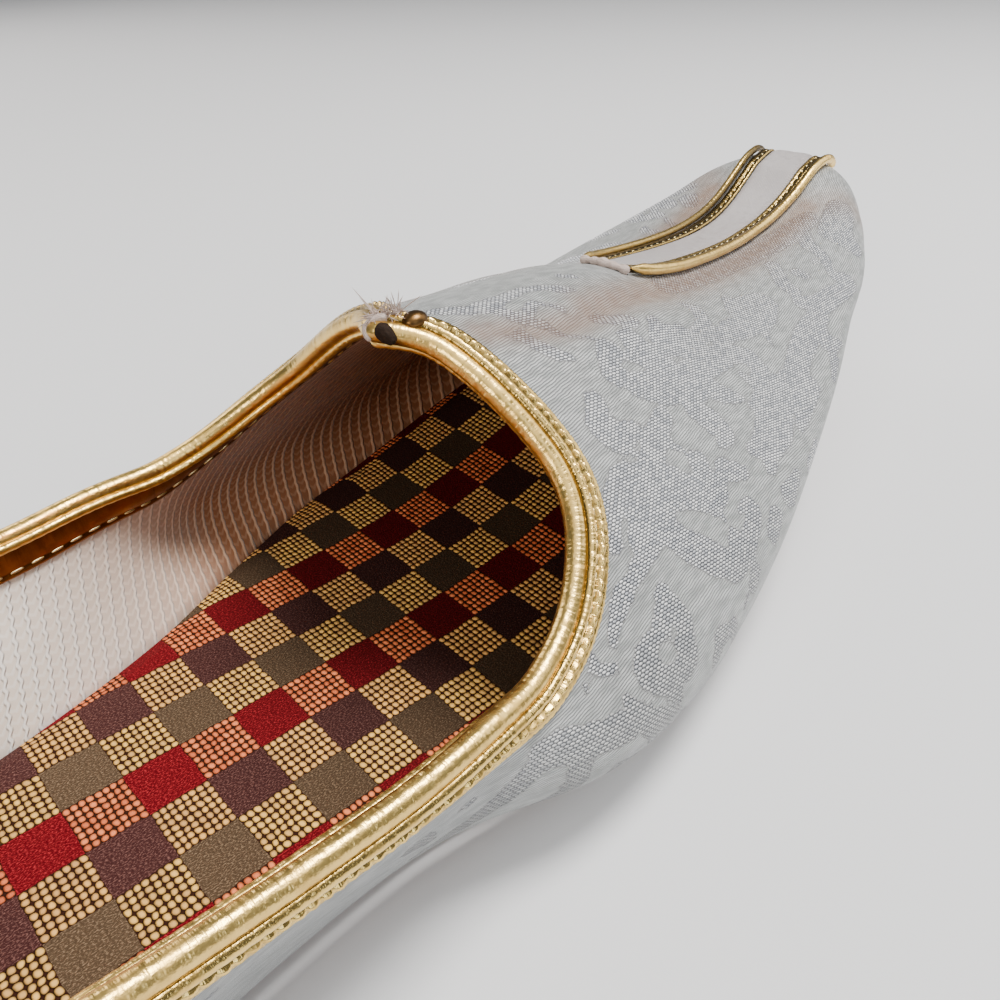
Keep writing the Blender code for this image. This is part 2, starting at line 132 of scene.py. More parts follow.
SOLE_TOP = np.array((
    (0.000, 0.223), (0.115, 0.185), (0.262, 0.134), (0.377, 0.097), (0.449, 0.073),
    (0.485, 0.066), (0.525, 0.070), (0.564, 0.085), (0.613, 0.130), (0.666, 0.203),
    (0.728, 0.291), (0.793, 0.373), (0.859, 0.443), (0.925, 0.500), (1.000, 0.546)))
SOLE_BOTTOM = np.array((
    (0.000, 0.157), (0.115, 0.119), (0.262, 0.068), (0.377, 0.030), (0.433, 0.008),
    (0.459, 0.000), (0.544, 0.000), (0.564, 0.015), (0.613, 0.064), (0.666, 0.137),
    (0.728, 0.225), (0.793, 0.307), (0.859, 0.377), (0.925, 0.434), (1.000, 0.480)))
WELT = np.array((
    (0.000, 0.016), (0.150, 0.000), (0.250, -0.045), (0.420, -0.045),
    (0.520, 0.000), (0.650, 0.020), (1.000, 0.026)))
HEEL_FRONT, HEEL_LIFTS = 0.225, 3
SOLE_LIGHT, SOLE_DARK, SOLE_SCUFF = (0.36, 0.20, 0.10), (0.27, 0.145, 0.07), (0.52, 0.38, 0.25)
HEEL_LIGHT, HEEL_DARK, HEEL_SCUFF = (0.22, 0.12, 0.065), (0.16, 0.085, 0.045), (0.42, 0.29, 0.19)


def ease(t, start, end, start_slope, end_slope):
    """Cubic from start to end with the slope given at each."""
    return ((2 * t**3 - 3 * t**2 + 1) * start + (t**3 - 2 * t**2 + t) * start_slope
            + (3 * t**2 - 2 * t**3) * end + (t**3 - t**2) * end_slope)


def along(table, at):
    """Monotone curve through the two columns of a table."""
    xs, ys = table[:, 0], table[:, 1]
    step, rise = np.diff(xs), np.diff(ys) / np.diff(xs)
    slope = np.zeros(len(xs))
    total = rise[:-1] + rise[1:]
    same_way = rise[:-1] * rise[1:] > 0
    slope[1:-1][same_way] = 2 * (rise[:-1] * rise[1:])[same_way] / total[same_way]
    slope[0], slope[-1] = rise[0], rise[-1]
    k = np.clip(np.searchsorted(xs, at, side="right") - 1, 0, len(xs) - 2)
    t = (at - xs[k]) / step[k]
    return ease(t, ys[k], ys[k + 1], step[k] * slope[k], step[k] * slope[k + 1])


def through(rows, at):
    """Smooth curve through evenly spaced rows."""
    k = np.clip(np.floor(at).astype(int), 0, len(rows) - 2)
    t = (np.clip(at, 0, len(rows) - 1) - k)[..., None]
    slope = np.gradient(rows, axis=0)
    return ease(t, rows[k], rows[k + 1], slope[k], slope[k + 1])


def sole_top(x):
    """Height of the sole's upper face along the shoe."""
    return THROAT * along(SOLE_TOP, np.clip(x / LENGTH, 0, 1))


def sole_bottom(x):
    """Height of the sole's lower face: flat under the forefoot, sprung at the toe."""
    return THROAT * along(SOLE_BOTTOM, np.clip(x / LENGTH, 0, 1))


def station(row):
    """Sizes of the last at a row, by name, in metres and radians."""
    values = through(STATIONS * STATION_UNITS, row)
    column = dict(zip(STATION_COLUMNS, np.moveaxis(values, -1, 0)))
    rows = np.arange(LAST_ROW + 1.0)
    for k, name in enumerate(STATION_COLUMNS[:2]):
        column[name] = along(np.stack((rows, STATIONS[:, k] * STATION_UNITS[k]), 1), row)
    return column


def outline(inset, welt=False):
    """Half width of the foot of the last at each x, moved outwards or inwards."""
    s = station(np.linspace(0, LAST_ROW, 600))
    reach = s["foot"] + inset
    if welt:
        at = s["centre"] + s["foot"] * np.cos(s["angle"])
        reach = reach + HALF_WIDTH * along(WELT, np.clip(at / LENGTH, 0, 1))
    return s["centre"] + reach * np.cos(s["angle"]), reach * np.sin(s["angle"])


SEAT = np.array((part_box("outsole")[0].x - outline(0.0, True)[0].min() - EDGE / 2, 0.0, 0.0))


def pairs(first, second):
    """Cloth coordinates from two grids that may need spreading over each other."""
    return np.stack(np.broadcast_arrays(first, second), -1)


def sew(name, sheets, surface, nodes=(), body="root"):
    """One object from grids of points. Each sheet is (points, cloth coordinates in mm, {mark: values})."""
    verts, faces, coords, marks = [], [], [], {}
    for points, uv, *more in sheets:
        n, m = points.shape[:2]
        first = sum(len(v) for v in verts)
        index = first + np.arange(n * m).reshape(n, m)
        quads = np.stack((index[:-1, :-1], index[1:, :-1], index[1:, 1:], index[:-1, 1:]), -1).reshape(-1, 4)
        verts.append(points.reshape(-1, 3) + SEAT)
        faces.append(quads)
        coords.append(uv.reshape(-1, 2))
        for key, value in (more[0] if more else {}).items():
            marks.setdefault(key, []).append(value.reshape(-1))
    verts, faces, coords = np.concatenate(verts), np.concatenate(faces), np.concatenate(coords)
    mesh = bpy.data.meshes.new(name)
    mesh.from_pydata(verts.tolist(), [], faces.tolist())
    layer = mesh.uv_layers.new(name="cloth")
    layer.data.foreach_set("uv", coords[faces.reshape(-1)].astype(np.float32).reshape(-1))
    for key, value in marks.items():
        mark = mesh.attributes.new(key, "FLOAT", "POINT")
        mark.data.foreach_set("value", np.concatenate(value).astype(np.float32))
    bm = bmesh.new()
    bm.from_mesh(mesh)
    bmesh.ops.remove_doubles(bm, verts=bm.verts, dist=2e-6)
    bmesh.ops.dissolve_degenerate(bm, edges=bm.edges, dist=1e-7)
    bm.to_mesh(mesh)
    bm.free()
    mesh.polygons.foreach_set("use_smooth", [True] * len(mesh.polygons))
    mesh.materials.append(surface)
    piece = bpy.data.objects.new(name, mesh)
    bpy.context.scene.collection.objects.link(piece)
    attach(piece, body)
    if nodes:
        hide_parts(*nodes)
    return piece


def new_finish(name, roughness=0.5, metallic=0.0):
    """Material with its node tree and its one shader."""
    surface = bpy.data.materials.new(name)
    surface.use_nodes = True
    tree = surface.node_tree
    shader = tree.nodes["Principled BSDF"]
    shader.inputs["Roughness"].default_value = roughness
    shader.inputs["Metallic"].default_value = metallic
    return surface, tree, shader


def wire(tree, socket, value):
    """Link or set a socket, whichever the value calls for."""
    if isinstance(value, bpy.types.NodeSocket):
        tree.links.new(value, socket)
    elif isinstance(value, tuple) and len(value) == 3 and len(socket.default_value) == 4:
        socket.default_value = (*value, 1)
    else:
        socket.default_value = value


def reckon(tree, operation, *values, clamp=False):
    node = tree.nodes.new("ShaderNodeMath")
    node.operation, node.use_clamp = operation, clamp
    for socket, value in zip(node.inputs, values):
        wire(tree, socket, value)
    return node.outputs[0]


def times(tree, first, second, clamp=False):
    return reckon(tree, "MULTIPLY", first, second, clamp=clamp)


def plus(tree, first, second):
    return reckon(tree, "ADD", first, second)


def minus(tree, first, second):
    return reckon(tree, "SUBTRACT", first, second)


def dye(tree, factor, first, second):
    """Colour or number between two others."""
    node = tree.nodes.new("ShaderNodeMix")
    node.data_type = "RGBA"
    wire(tree, node.inputs["Factor"], factor)
    wire(tree, node.inputs["A"], first)
    wire(tree, node.inputs["B"], second)
    return node.outputs["Result"]


def ramp(tree, value, low, high, start=0.0, end=1.0):
    """Smooth step from start to end while the value goes from low to high."""
    node = tree.nodes.new("ShaderNodeMapRange")
    node.interpolation_type = "SMOOTHSTEP"
    limits = {"Value": value, "From Min": low, "From Max": high, "To Min": start, "To Max": end}
    for key, number in limits.items():
        wire(tree, node.inputs[key], number)
    return node.outputs["Result"]


def speckle(tree, vector, scale, detail=3.0, stretch=(1, 1, 1)):
    """Cloudy noise between 0 and 1."""
    spread = tree.nodes.new("ShaderNodeMapping")
    wire(tree, spread.inputs["Vector"], vector)
    wire(tree, spread.inputs["Scale"], stretch)
    node = tree.nodes.new("ShaderNodeTexNoise")
    wire(tree, node.inputs["Vector"], spread.outputs["Vector"])
    wire(tree, node.inputs["Scale"], scale)
    wire(tree, node.inputs["Detail"], detail)
    return node.outputs["Fac"]


def relief(tree, shader, height, depth):
    """Bump of the depth given, in metres."""
    node = tree.nodes.new("ShaderNodeBump")
    wire(tree, node.inputs["Height"], height)
    wire(tree, node.inputs["Distance"], depth)
    wire(tree, shader.inputs["Normal"], node.outputs["Normal"])


def cloth_place(tree):
    node = tree.nodes.new("ShaderNodeUVMap")
    node.uv_map = "cloth"
    return node.outputs["UV"]


def split(tree, vector):
    node = tree.nodes.new("ShaderNodeSeparateXYZ")
    wire(tree, node.inputs[0], vector)
    return node.outputs["X"], node.outputs["Y"]


def new_effect(name, inputs, outputs):
    """Node group with named number or vector inputs and number outputs."""
    group = bpy.data.node_groups.new(name, "ShaderNodeTree")
    for key, kind, value in inputs:
        socket = group.interface.new_socket(key, in_out="INPUT", socket_type=kind)
        if value is not None:
            socket.default_value = value
    for key in outputs:
        group.interface.new_socket(key, in_out="OUTPUT", socket_type="NodeSocketFloat")
    return group, group.nodes.new("NodeGroupInput").outputs, group.nodes.new("NodeGroupOutput").inputs


def place_effect(tree, group, **values):
    node = tree.nodes.new("ShaderNodeGroup")
    node.node_tree = group
    for key, value in values.items():
        wire(tree, node.inputs[key.replace("_", " ").title()], value)
    return node.outputs


# Grain of vegetable-tanned leather: pores, soft cloudy patches and a few long scuffs.
hide_grain, grain_in, grain_out = new_effect(
    "hide grain",
    (("Place", "NodeSocketVector", None), ("Scale", "NodeSocketFloat", 1.0)),
    ("Cloud", "Pores", "Scuffs"))
hide_vector = hide_grain.nodes.new("ShaderNodeVectorMath")
hide_vector.operation = "SCALE"
wire(hide_grain, hide_vector.inputs[0], grain_in["Place"])
wire(hide_grain, hide_vector.inputs["Scale"], grain_in["Scale"])
pores = hide_grain.nodes.new("ShaderNodeTexVoronoi")
pores.feature = "DISTANCE_TO_EDGE"
wire(hide_grain, pores.inputs["Vector"], hide_vector.outputs[0])
wire(hide_grain, pores.inputs["Scale"], 900.0)
wire(hide_grain, grain_out["Cloud"], speckle(hide_grain, hide_vector.outputs[0], 38.0, 4.0))
wire(hide_grain, grain_out["Pores"], ramp(hide_grain, pores.outputs["Distance"], 0.0, 0.25))
hide_streaks = speckle(hide_grain, hide_vector.outputs[0], 60.0, 5.0, (0.25, 2.2, 1.0))
wire(hide_grain, grain_out["Scuffs"], ramp(hide_grain, hide_streaks, 0.56, 0.72))


def leather(name, light, dark, scuff, rough):
    """Vegetable-tanned leather, worn smooth."""
    surface, tree, shader = new_finish(name)
    place = tree.nodes.new("ShaderNodeTexCoord").outputs["Object"]
    grain = place_effect(tree, hide_grain, place=place, scale=1.0)
    colour = dye(tree, grain["Cloud"], dark, light)
    wire(tree, shader.inputs["Base Color"], dye(tree, times(tree, grain["Scuffs"], 0.35), colour, scuff))
    wire(tree, shader.inputs["Roughness"], ramp(tree, grain["Cloud"], 0.2, 0.8, rough - 0.08, rough + 0.1))
    relief(tree, shader, plus(tree, grain["Pores"], grain["Cloud"]), 0.00012)
    return surface


def slab(inset, start, end, low, high, bulge, count=150, side=9):
    """Slab cut to the outline: a closed skin of rings across the shoe with softly rounded edges."""
    x, y = outline(inset, True)
    start = x.min() + EDGE / 2 if start is None else start
    end = x.max() - EDGE / 2 if end is None else end
    places = start + (end - start) * (1 - np.cos(np.linspace(0, np.pi, count))) / 2
    half = np.interp(places, x, y)
    turn = np.linspace(-np.pi / 2, np.pi / 2, side)
    across = np.linspace(-1, 1, 15)
    rings = []
    for px, w in zip(places, half):
        b, t = low(px), high(px)
        middle, thick = (b + t) / 2, (t - b) / 2
        edge = min(thick * 0.9, w * 0.45)
        side_y = w - edge * bulge * (1 - np.cos(turn))
        side_z = middle + thick * np.sin(turn)
        inner = side_y[0]
        ring = [(px, a * inner, b) for a in across[:-1]]
        ring += [(px, q, z) for q, z in zip(side_y, side_z)]
        ring += [(px, -a * inner, t) for a in across[1:-1]]
        ring += [(px, -q, z) for q, z in zip(side_y[::-1], side_z[::-1])]
        rings.append(ring + ring[:1])
    rings = np.array(rings)
    first, last = rings[:1].copy(), rings[-1:].copy()
    for cap in (first, last):
        cap[..., 1] = 0
        cap[..., 2] = (cap[..., 2].min() + cap[..., 2].max()) / 2 + 0 * cap[..., 2]
    rings = np.concatenate((first, rings, last))
    return rings, pairs(rings[..., 0], np.linspace(0, 0.2, rings.shape[1])) / MM


sole_finish = leather("sole_leather", SOLE_LIGHT, SOLE_DARK, SOLE_SCUFF, 0.52)
heel_finish = leather("heel_leather", HEEL_LIGHT, HEEL_DARK, HEEL_SCUFF, 0.50)
sole_slab = slab(0.0, None, None, sole_bottom, lambda x: sole_top(x) - GAP, 0.35)
sew("sole", [sole_slab], sole_finish, ("outsole",))

lifts = []
for k in range(HEEL_LIFTS):
    low_share, high_share = k / HEEL_LIFTS, (k + 1) / HEEL_LIFTS
    lifts.append(slab(-LIFT_INSET + 0.0002 * k, None, HEEL_FRONT * LENGTH,
                      lambda x, s=low_share: (sole_bottom(x) - GAP) * s,
                      lambda x, s=high_share: (sole_bottom(x) - GAP) * s - 0.00004, 0.5, 60, 7))
sew("heel", lifts, heel_finish, ("heel_lift",))

# Insole sock. A thin padded sock covered in check cloth: satin squares in red, mauve and taupe rows,
# and between them cream loops over the colour of the row. The squares run slantwise across the shoe.
INSOLE_FRONT = 0.925
CELL = 0.0086                       # one square of the check
CHECK_TILT = np.radians(4.0)        # slope of the sock at the waist, where the squares were laid out
CHECK_START = (12.4, -3.2, 0.0167)  # squares along, squares across, height of the first square
CHECK_TURN = np.radians(8.6)        # rows against the line of the shoe
LOOPS = (8.0, 7.0)                  # loops along and across a square
# Colours of the red, mauve and taupe rows, in that order.
SATINS = ((0.115, 0.0002, 0.0040), (0.050, 0.015, 0.014), (0.080, 0.049, 0.027))
# The next colours are painted sheen: bright specks on the satin pile of each row.
PILE_SHEENS = ((0.55, 0.03, 0.04), (0.24, 0.11, 0.09), (0.30, 0.20, 0.12))
LOOP_TOPS = ((1.0, 0.27, 0.10), (1.0, 0.53, 0.15), (1.0, 0.58, 0.15))
LOOP_ROOTS = ((0.42, 0.055, 0.02), (0.42, 0.22, 0.10), (0.42, 0.22, 0.10))
LOOP_SHADE = (0.030, 0.008, 0.003)
# Painted shade that darkens the satin squares under the vamp.
PAINTED_VAMP_SHADE = (0.008, 0.002, 0.0005)


def check_place(points):
    """Squares along and across at each point of the sock, measured along its curve."""
    x = points[..., 0] / CELL
    z = (points[..., 2] - CHECK_START[2]) / CELL
    run = np.cos(CHECK_TILT) * x - np.sin(CHECK_TILT) * z - CHECK_START[0]
    y = points[..., 1] / CELL + CHECK_START[1]
    line = np.linspace(0, LENGTH, 1200)
    line_x = line / CELL
    line_z = (sole_top(line) + INSOLE - CHECK_START[2]) / CELL
    along_run = np.cos(CHECK_TILT) * line_x - np.sin(CHECK_TILT) * line_z - CHECK_START[0]
    rise = np.sin(CHECK_TILT) * line_x + np.cos(CHECK_TILT) * line_z
    arc = np.concatenate(((0,), np.cumsum(np.hypot(np.diff(along_run), np.diff(rise)))))
    arc -= np.interp(0.0, along_run, arc)
    s = np.interp(run, along_run, arc)
    turn_cos, turn_sin = np.cos(CHECK_TURN), np.sin(CHECK_TURN)
    return pairs(turn_cos * s - turn_sin * y, -turn_sin * s - turn_cos * y)


# Rows of short loops set brick fashion, as beads of thread: 1 on top of a loop, 0 between loops. A squarer
# loop has a higher power, and a fuller one fills more of its place.
thread_beads, beads_in, beads_out = new_effect(
    "thread beads",
    (("Along", "NodeSocketFloat", 0.0), ("Across", "NodeSocketFloat", 0.0),
     ("Stagger", "NodeSocketFloat", 0.5), ("Power", "NodeSocketFloat", 2.0),
     ("Hollow", "NodeSocketFloat", 1.05)),
    ("Height", "Row Tone"))
bead_row = reckon(thread_beads, "FLOOR", beads_in["Across"])
bead_shift = times(thread_beads, reckon(thread_beads, "FLOORED_MODULO", bead_row, 2.0), beads_in["Stagger"])
bead_along = plus(thread_beads, beads_in["Along"], bead_shift)
bead_far = None
for bead_side in (bead_along, beads_in["Across"]):
    within = reckon(thread_beads, "FRACT", bead_side)
    from_middle = reckon(thread_beads, "ABSOLUTE", minus(thread_beads, within, 0.5))
    powered = reckon(thread_beads, "POWER", times(thread_beads, from_middle, 2.0), beads_in["Power"])
    bead_far = powered if bead_far is None else plus(thread_beads, bead_far, powered)
bead_dome = minus(thread_beads, 1.0, times(thread_beads, bead_far, beads_in["Hollow"]))
bead_dome = reckon(thread_beads, "MAXIMUM", bead_dome, 0.0)
wire(thread_beads, beads_out["Height"], reckon(thread_beads, "SQRT", bead_dome))
bead_noise = thread_beads.nodes.new("ShaderNodeTexWhiteNoise")
bead_noise.noise_dimensions = "2D"
bead_cell = thread_beads.nodes.new("ShaderNodeCombineXYZ")
wire(thread_beads, bead_cell.inputs[0], reckon(thread_beads, "FLOOR", bead_along))
wire(thread_beads, bead_cell.inputs[1], bead_row)
wire(thread_beads, bead_noise.inputs["Vector"], bead_cell.outputs[0])
wire(thread_beads, beads_out["Row Tone"], bead_noise.outputs["Value"])

check_finish, tree, shader = new_finish("check_cloth", 0.75)
along_rows, across_rows = split(tree, cloth_place(tree))
wobble = times(tree, minus(tree, speckle(tree, cloth_place(tree), 3.0, 2.0), 0.5), 0.08)
along_rows = plus(tree, plus(tree, along_rows, 0.5), wobble)
across_rows = plus(tree, plus(tree, across_rows, 0.5), wobble)
cell_i, cell_j = reckon(tree, "FLOOR", along_rows), reckon(tree, "FLOOR", across_rows)
row_kind = reckon(tree, "FLOORED_MODULO", cell_j, 3.0)
is_red = reckon(tree, "LESS_THAN", row_kind, 0.5)
is_taupe = reckon(tree, "GREATER_THAN", row_kind, 1.5)
satin_colour, pile_sheen, loop_colour, loop_root = (
    dye(tree, is_taupe, dye(tree, is_red, mauve, red), taupe)
    for red, mauve, taupe in (SATINS, PILE_SHEENS, LOOP_TOPS, LOOP_ROOTS))
woven = reckon(tree, "FLOORED_MODULO", plus(tree, cell_i, cell_j), 2.0)
loops = place_effect(tree, thread_beads, stagger=0.0, power=2.3, hollow=0.95,
                     along=times(tree, along_rows, LOOPS[0]), across=times(tree, across_rows, LOOPS[1]))
dull_loop = dye(tree, 0.55, loop_colour, loop_root)
loop_tone = dye(tree, ramp(tree, loops["Row Tone"], 0.0, 1.0), dull_loop, loop_colour)
# Darker towards the roots of the loops: the dark gaps between loops, and painted shade down each loop.
woven_colour = dye(tree, ramp(tree, loops["Height"], 0.28, 0.95), LOOP_SHADE, loop_tone)
pile = speckle(tree, cloth_place(tree), 27.0, 4.0, (0.9, 1.7, 1.0))
# Painted sheen: brighter specks on the satin pile.
satin_tone = dye(tree, ramp(tree, pile, 0.46, 0.70, 0.0, 0.85), satin_colour, pile_sheen)
vamp_shade_mask = ramp(tree, along_rows, -2.0, 6.0, 0.0, 0.60)        # painted shade: the satin squares are darker under the vamp
satin_tone = dye(tree, vamp_shade_mask, satin_tone, PAINTED_VAMP_SHADE)
wire(tree, shader.inputs["Base Color"], dye(tree, woven, satin_tone, woven_colour))
shader.inputs["Specular IOR Level"].default_value = 0.09
check_height = dye(tree, woven, times(tree, pile, 0.35), loops["Height"])
relief(tree, shader, check_height, 0.0008)

sock_x, sock_y = outline(-WALL - GAP - 0.0001)
sock_line = np.linspace(sock_x.min() + 0.0004, INSOLE_FRONT * LENGTH, 320)
sock_half = np.interp(sock_line, sock_x, sock_y)
sock_share = np.sin(np.linspace(-np.pi / 2, np.pi / 2, 91))
sock = np.empty((len(sock_line), len(sock_share), 3))
sock[..., 0] = sock_line[:, None]
sock[..., 1] = sock_half[:, None] * sock_share
sock_roll = 0.0011 * np.clip((np.abs(sock_share) - 0.9) / 0.1, 0, 1)        # its edge turns down
sock[..., 2] = (sole_top(sock_line) + INSOLE)[:, None] - sock_roll
sock_skirt_left = np.stack((sock[:, 0], sock[:, 0] - (0, 0, 0.0014)), 1)[:, ::-1]
sock_skirt_right = np.stack((sock[:, -1], sock[:, -1] - (0, 0, 0.0014)), 1)
sock_front = np.stack((sock[-1], sock[-1] - (0, 0, 0.0022)), 0)
sock_sheets = [(part, check_place(part)) for part in (sock, sock_skirt_left, sock_skirt_right, sock_front)]
sew("insole_cloth", sock_sheets, check_finish, ("insole",))

# Upper. Two quarters and a vamp in one length of off-white silk brocade, pulled over the last and lined
# with a cream knitted mesh. The figures of the brocade stand up from the satin ground as beads of thread.
# RIM and RIDGE give the top edge of the cloth from the heel round the throat and on to the toe. Each has
# (row of the last, share up to the centre line, row where the same thread starts at the sole).
RIM = np.array((
    (0.00, 0.539, 0.0), (1.00, 0.533, 1.0), (2.00, 0.512, 2.0), (3.10, 0.467, 3.0), (4.25, 0.398, 4.0),
    (4.93, 0.362, 4.65), (5.25, 0.349, 5.0), (5.77, 0.336, 5.6), (6.50, 0.348, 6.5), (6.92, 0.384, 7.0),
    (7.36, 0.444, 7.5), (7.75, 0.530, 8.0), (7.94, 0.614, 8.4), (7.97, 0.709, 8.85), (7.90, 0.841, 9.35),
    (7.82, 0.919, 9.75), (7.62, 1.000, 10.0)))
RIDGE = np.array((
    (8.3, 1, 10.35), (9.0, 1, 10.8), (9.8, 1, 11.3), (10.6, 1, 11.8), (11.5, 1, 12.4),
    (12.4, 1, 13.0), (13.3, 1, 13.7), (14.2, 1, 14.4), (15.0, 1, 15.1), (16.0, 1, 16.0),
    (17.0, 1, 17.0), (18.0, 1, 18.0), (19.0, 1, 19.0)))
TOE_ROW = 16.0
RIM_RIBS, RIDGE_RIBS, UP_STEPS = 180, 130, 72
MIRROR = np.array((1.0, -1.0, 1.0))


def last_point(row, up):
    """Point of the last's left half. up runs from 0 at the sole to 1 on the centre line, by length."""
    row, up = np.broadcast_arrays(np.asarray(row, float), np.asarray(up, float))
    s = station(row)
    foot_z = sole_top(s["centre"] + s["foot"] * np.cos(s["angle"]))
    radius = np.stack((s["foot"], s["bulge"], s["flank"], s["shoulder"], 0 * row, -s["shoulder"]), -1)
    height = np.stack((foot_z, foot_z + s["lift"], s["flank_z"], s["shoulder_z"],
                       s["ridge"], s["shoulder_z"]), -1)
    points = np.stack((radius, height), -1)
    chord = np.linalg.norm(np.diff(points, axis=-2), axis=-1)
    knot = np.concatenate((np.zeros(row.shape + (1,)), np.cumsum(chord, -1)), -1)
    leg = np.diff(points, axis=-2) / chord[..., None]
    share = (chord[..., 1:] / (chord[..., :-1] + chord[..., 1:]))[..., None]
    tangent = np.empty_like(points[..., :5, :])
    tangent[..., 1:, :] = leg[..., :-1, :] * share + leg[..., 1:, :] * (1 - share)
    tangent[..., 0, :] = 1.5 * leg[..., 0, :] - 0.5 * tangent[..., 1, :]
    at = up * knot[..., 4]
    result = points[..., 0, :].copy()
    for k in range(4):
        t = np.clip((at - knot[..., k]) / chord[..., k], 0, 1)[..., None]
        width = chord[..., k, None]
        span = ease(t, points[..., k, :], points[..., k + 1, :],
                    width * tangent[..., k, :], width * tangent[..., k + 1, :])
        result = np.where((at >= knot[..., k])[..., None], span, result)
    reach, rise = result[..., 0], result[..., 1]
    return np.stack((s["centre"] + reach * np.cos(s["angle"]), reach * np.sin(s["angle"]), rise), -1)


def outward(row, up):
    """Unit normal of the last, made even across the centre line."""
    row, up = np.broadcast_arrays(np.asarray(row, float), np.asarray(up, float))
    middle = up > 0.999
    row = np.where(middle & (row > TOE_ROW), TOE_ROW, row)
    u = np.clip(up, 0.004, 0.99)
    ahead, behind = np.clip(row + 0.02, 0, LAST_ROW), np.clip(row - 0.02, 0, LAST_ROW)
    forward = last_point(ahead, u) - last_point(behind, u)
    rising = last_point(row, u + 0.004) - last_point(row, u - 0.004)
    normal = np.cross(rising, forward)
    normal[..., 1] = np.where(middle | (row < 0.01) | (row > LAST_ROW - 0.01), 0, normal[..., 1])
    return normal / np.linalg.norm(normal, axis=-1, keepdims=True)


def skin(row, up, height):
    """Face of the upper, raised or lowered along its normal. The edge on the sole stays level."""
    point = last_point(row, up)
    height = np.asarray(height, float)
    moved = point + outward(row, up) * (height[..., None] if height.ndim else height)
    level = np.asarray(up) < 1e-6
    moved[..., 2] = np.where(level, point[..., 2], moved[..., 2])
    return moved


def run_length(line):
    """Length along a line of points up to each of them."""
    return np.concatenate(((0,), np.cumsum(np.linalg.norm(np.diff(line, axis=0), axis=1))))


# Cloth coordinates: mm along the shoe at mid height, and mm of girth down from the centre line.
form_rows, form_ups = np.linspace(0, LAST_ROW, 381), np.linspace(0, 1, 121)
form = last_point(*np.meshgrid(form_rows, form_ups, indexing="ij"))
form_run = run_length(form[:, 54]) / MM
form_girth = np.linalg.norm(np.diff(form, axis=1), axis=2).sum(1) / MM


def brocade_place(row, up, side):
    """Cloth coordinates of points of the last. The girth is negative on the far side."""
    run = np.interp(row, form_rows, form_run)
    girth = np.interp(row, form_rows, form_girth) * (1 - up) * side
    return pairs(run, girth)


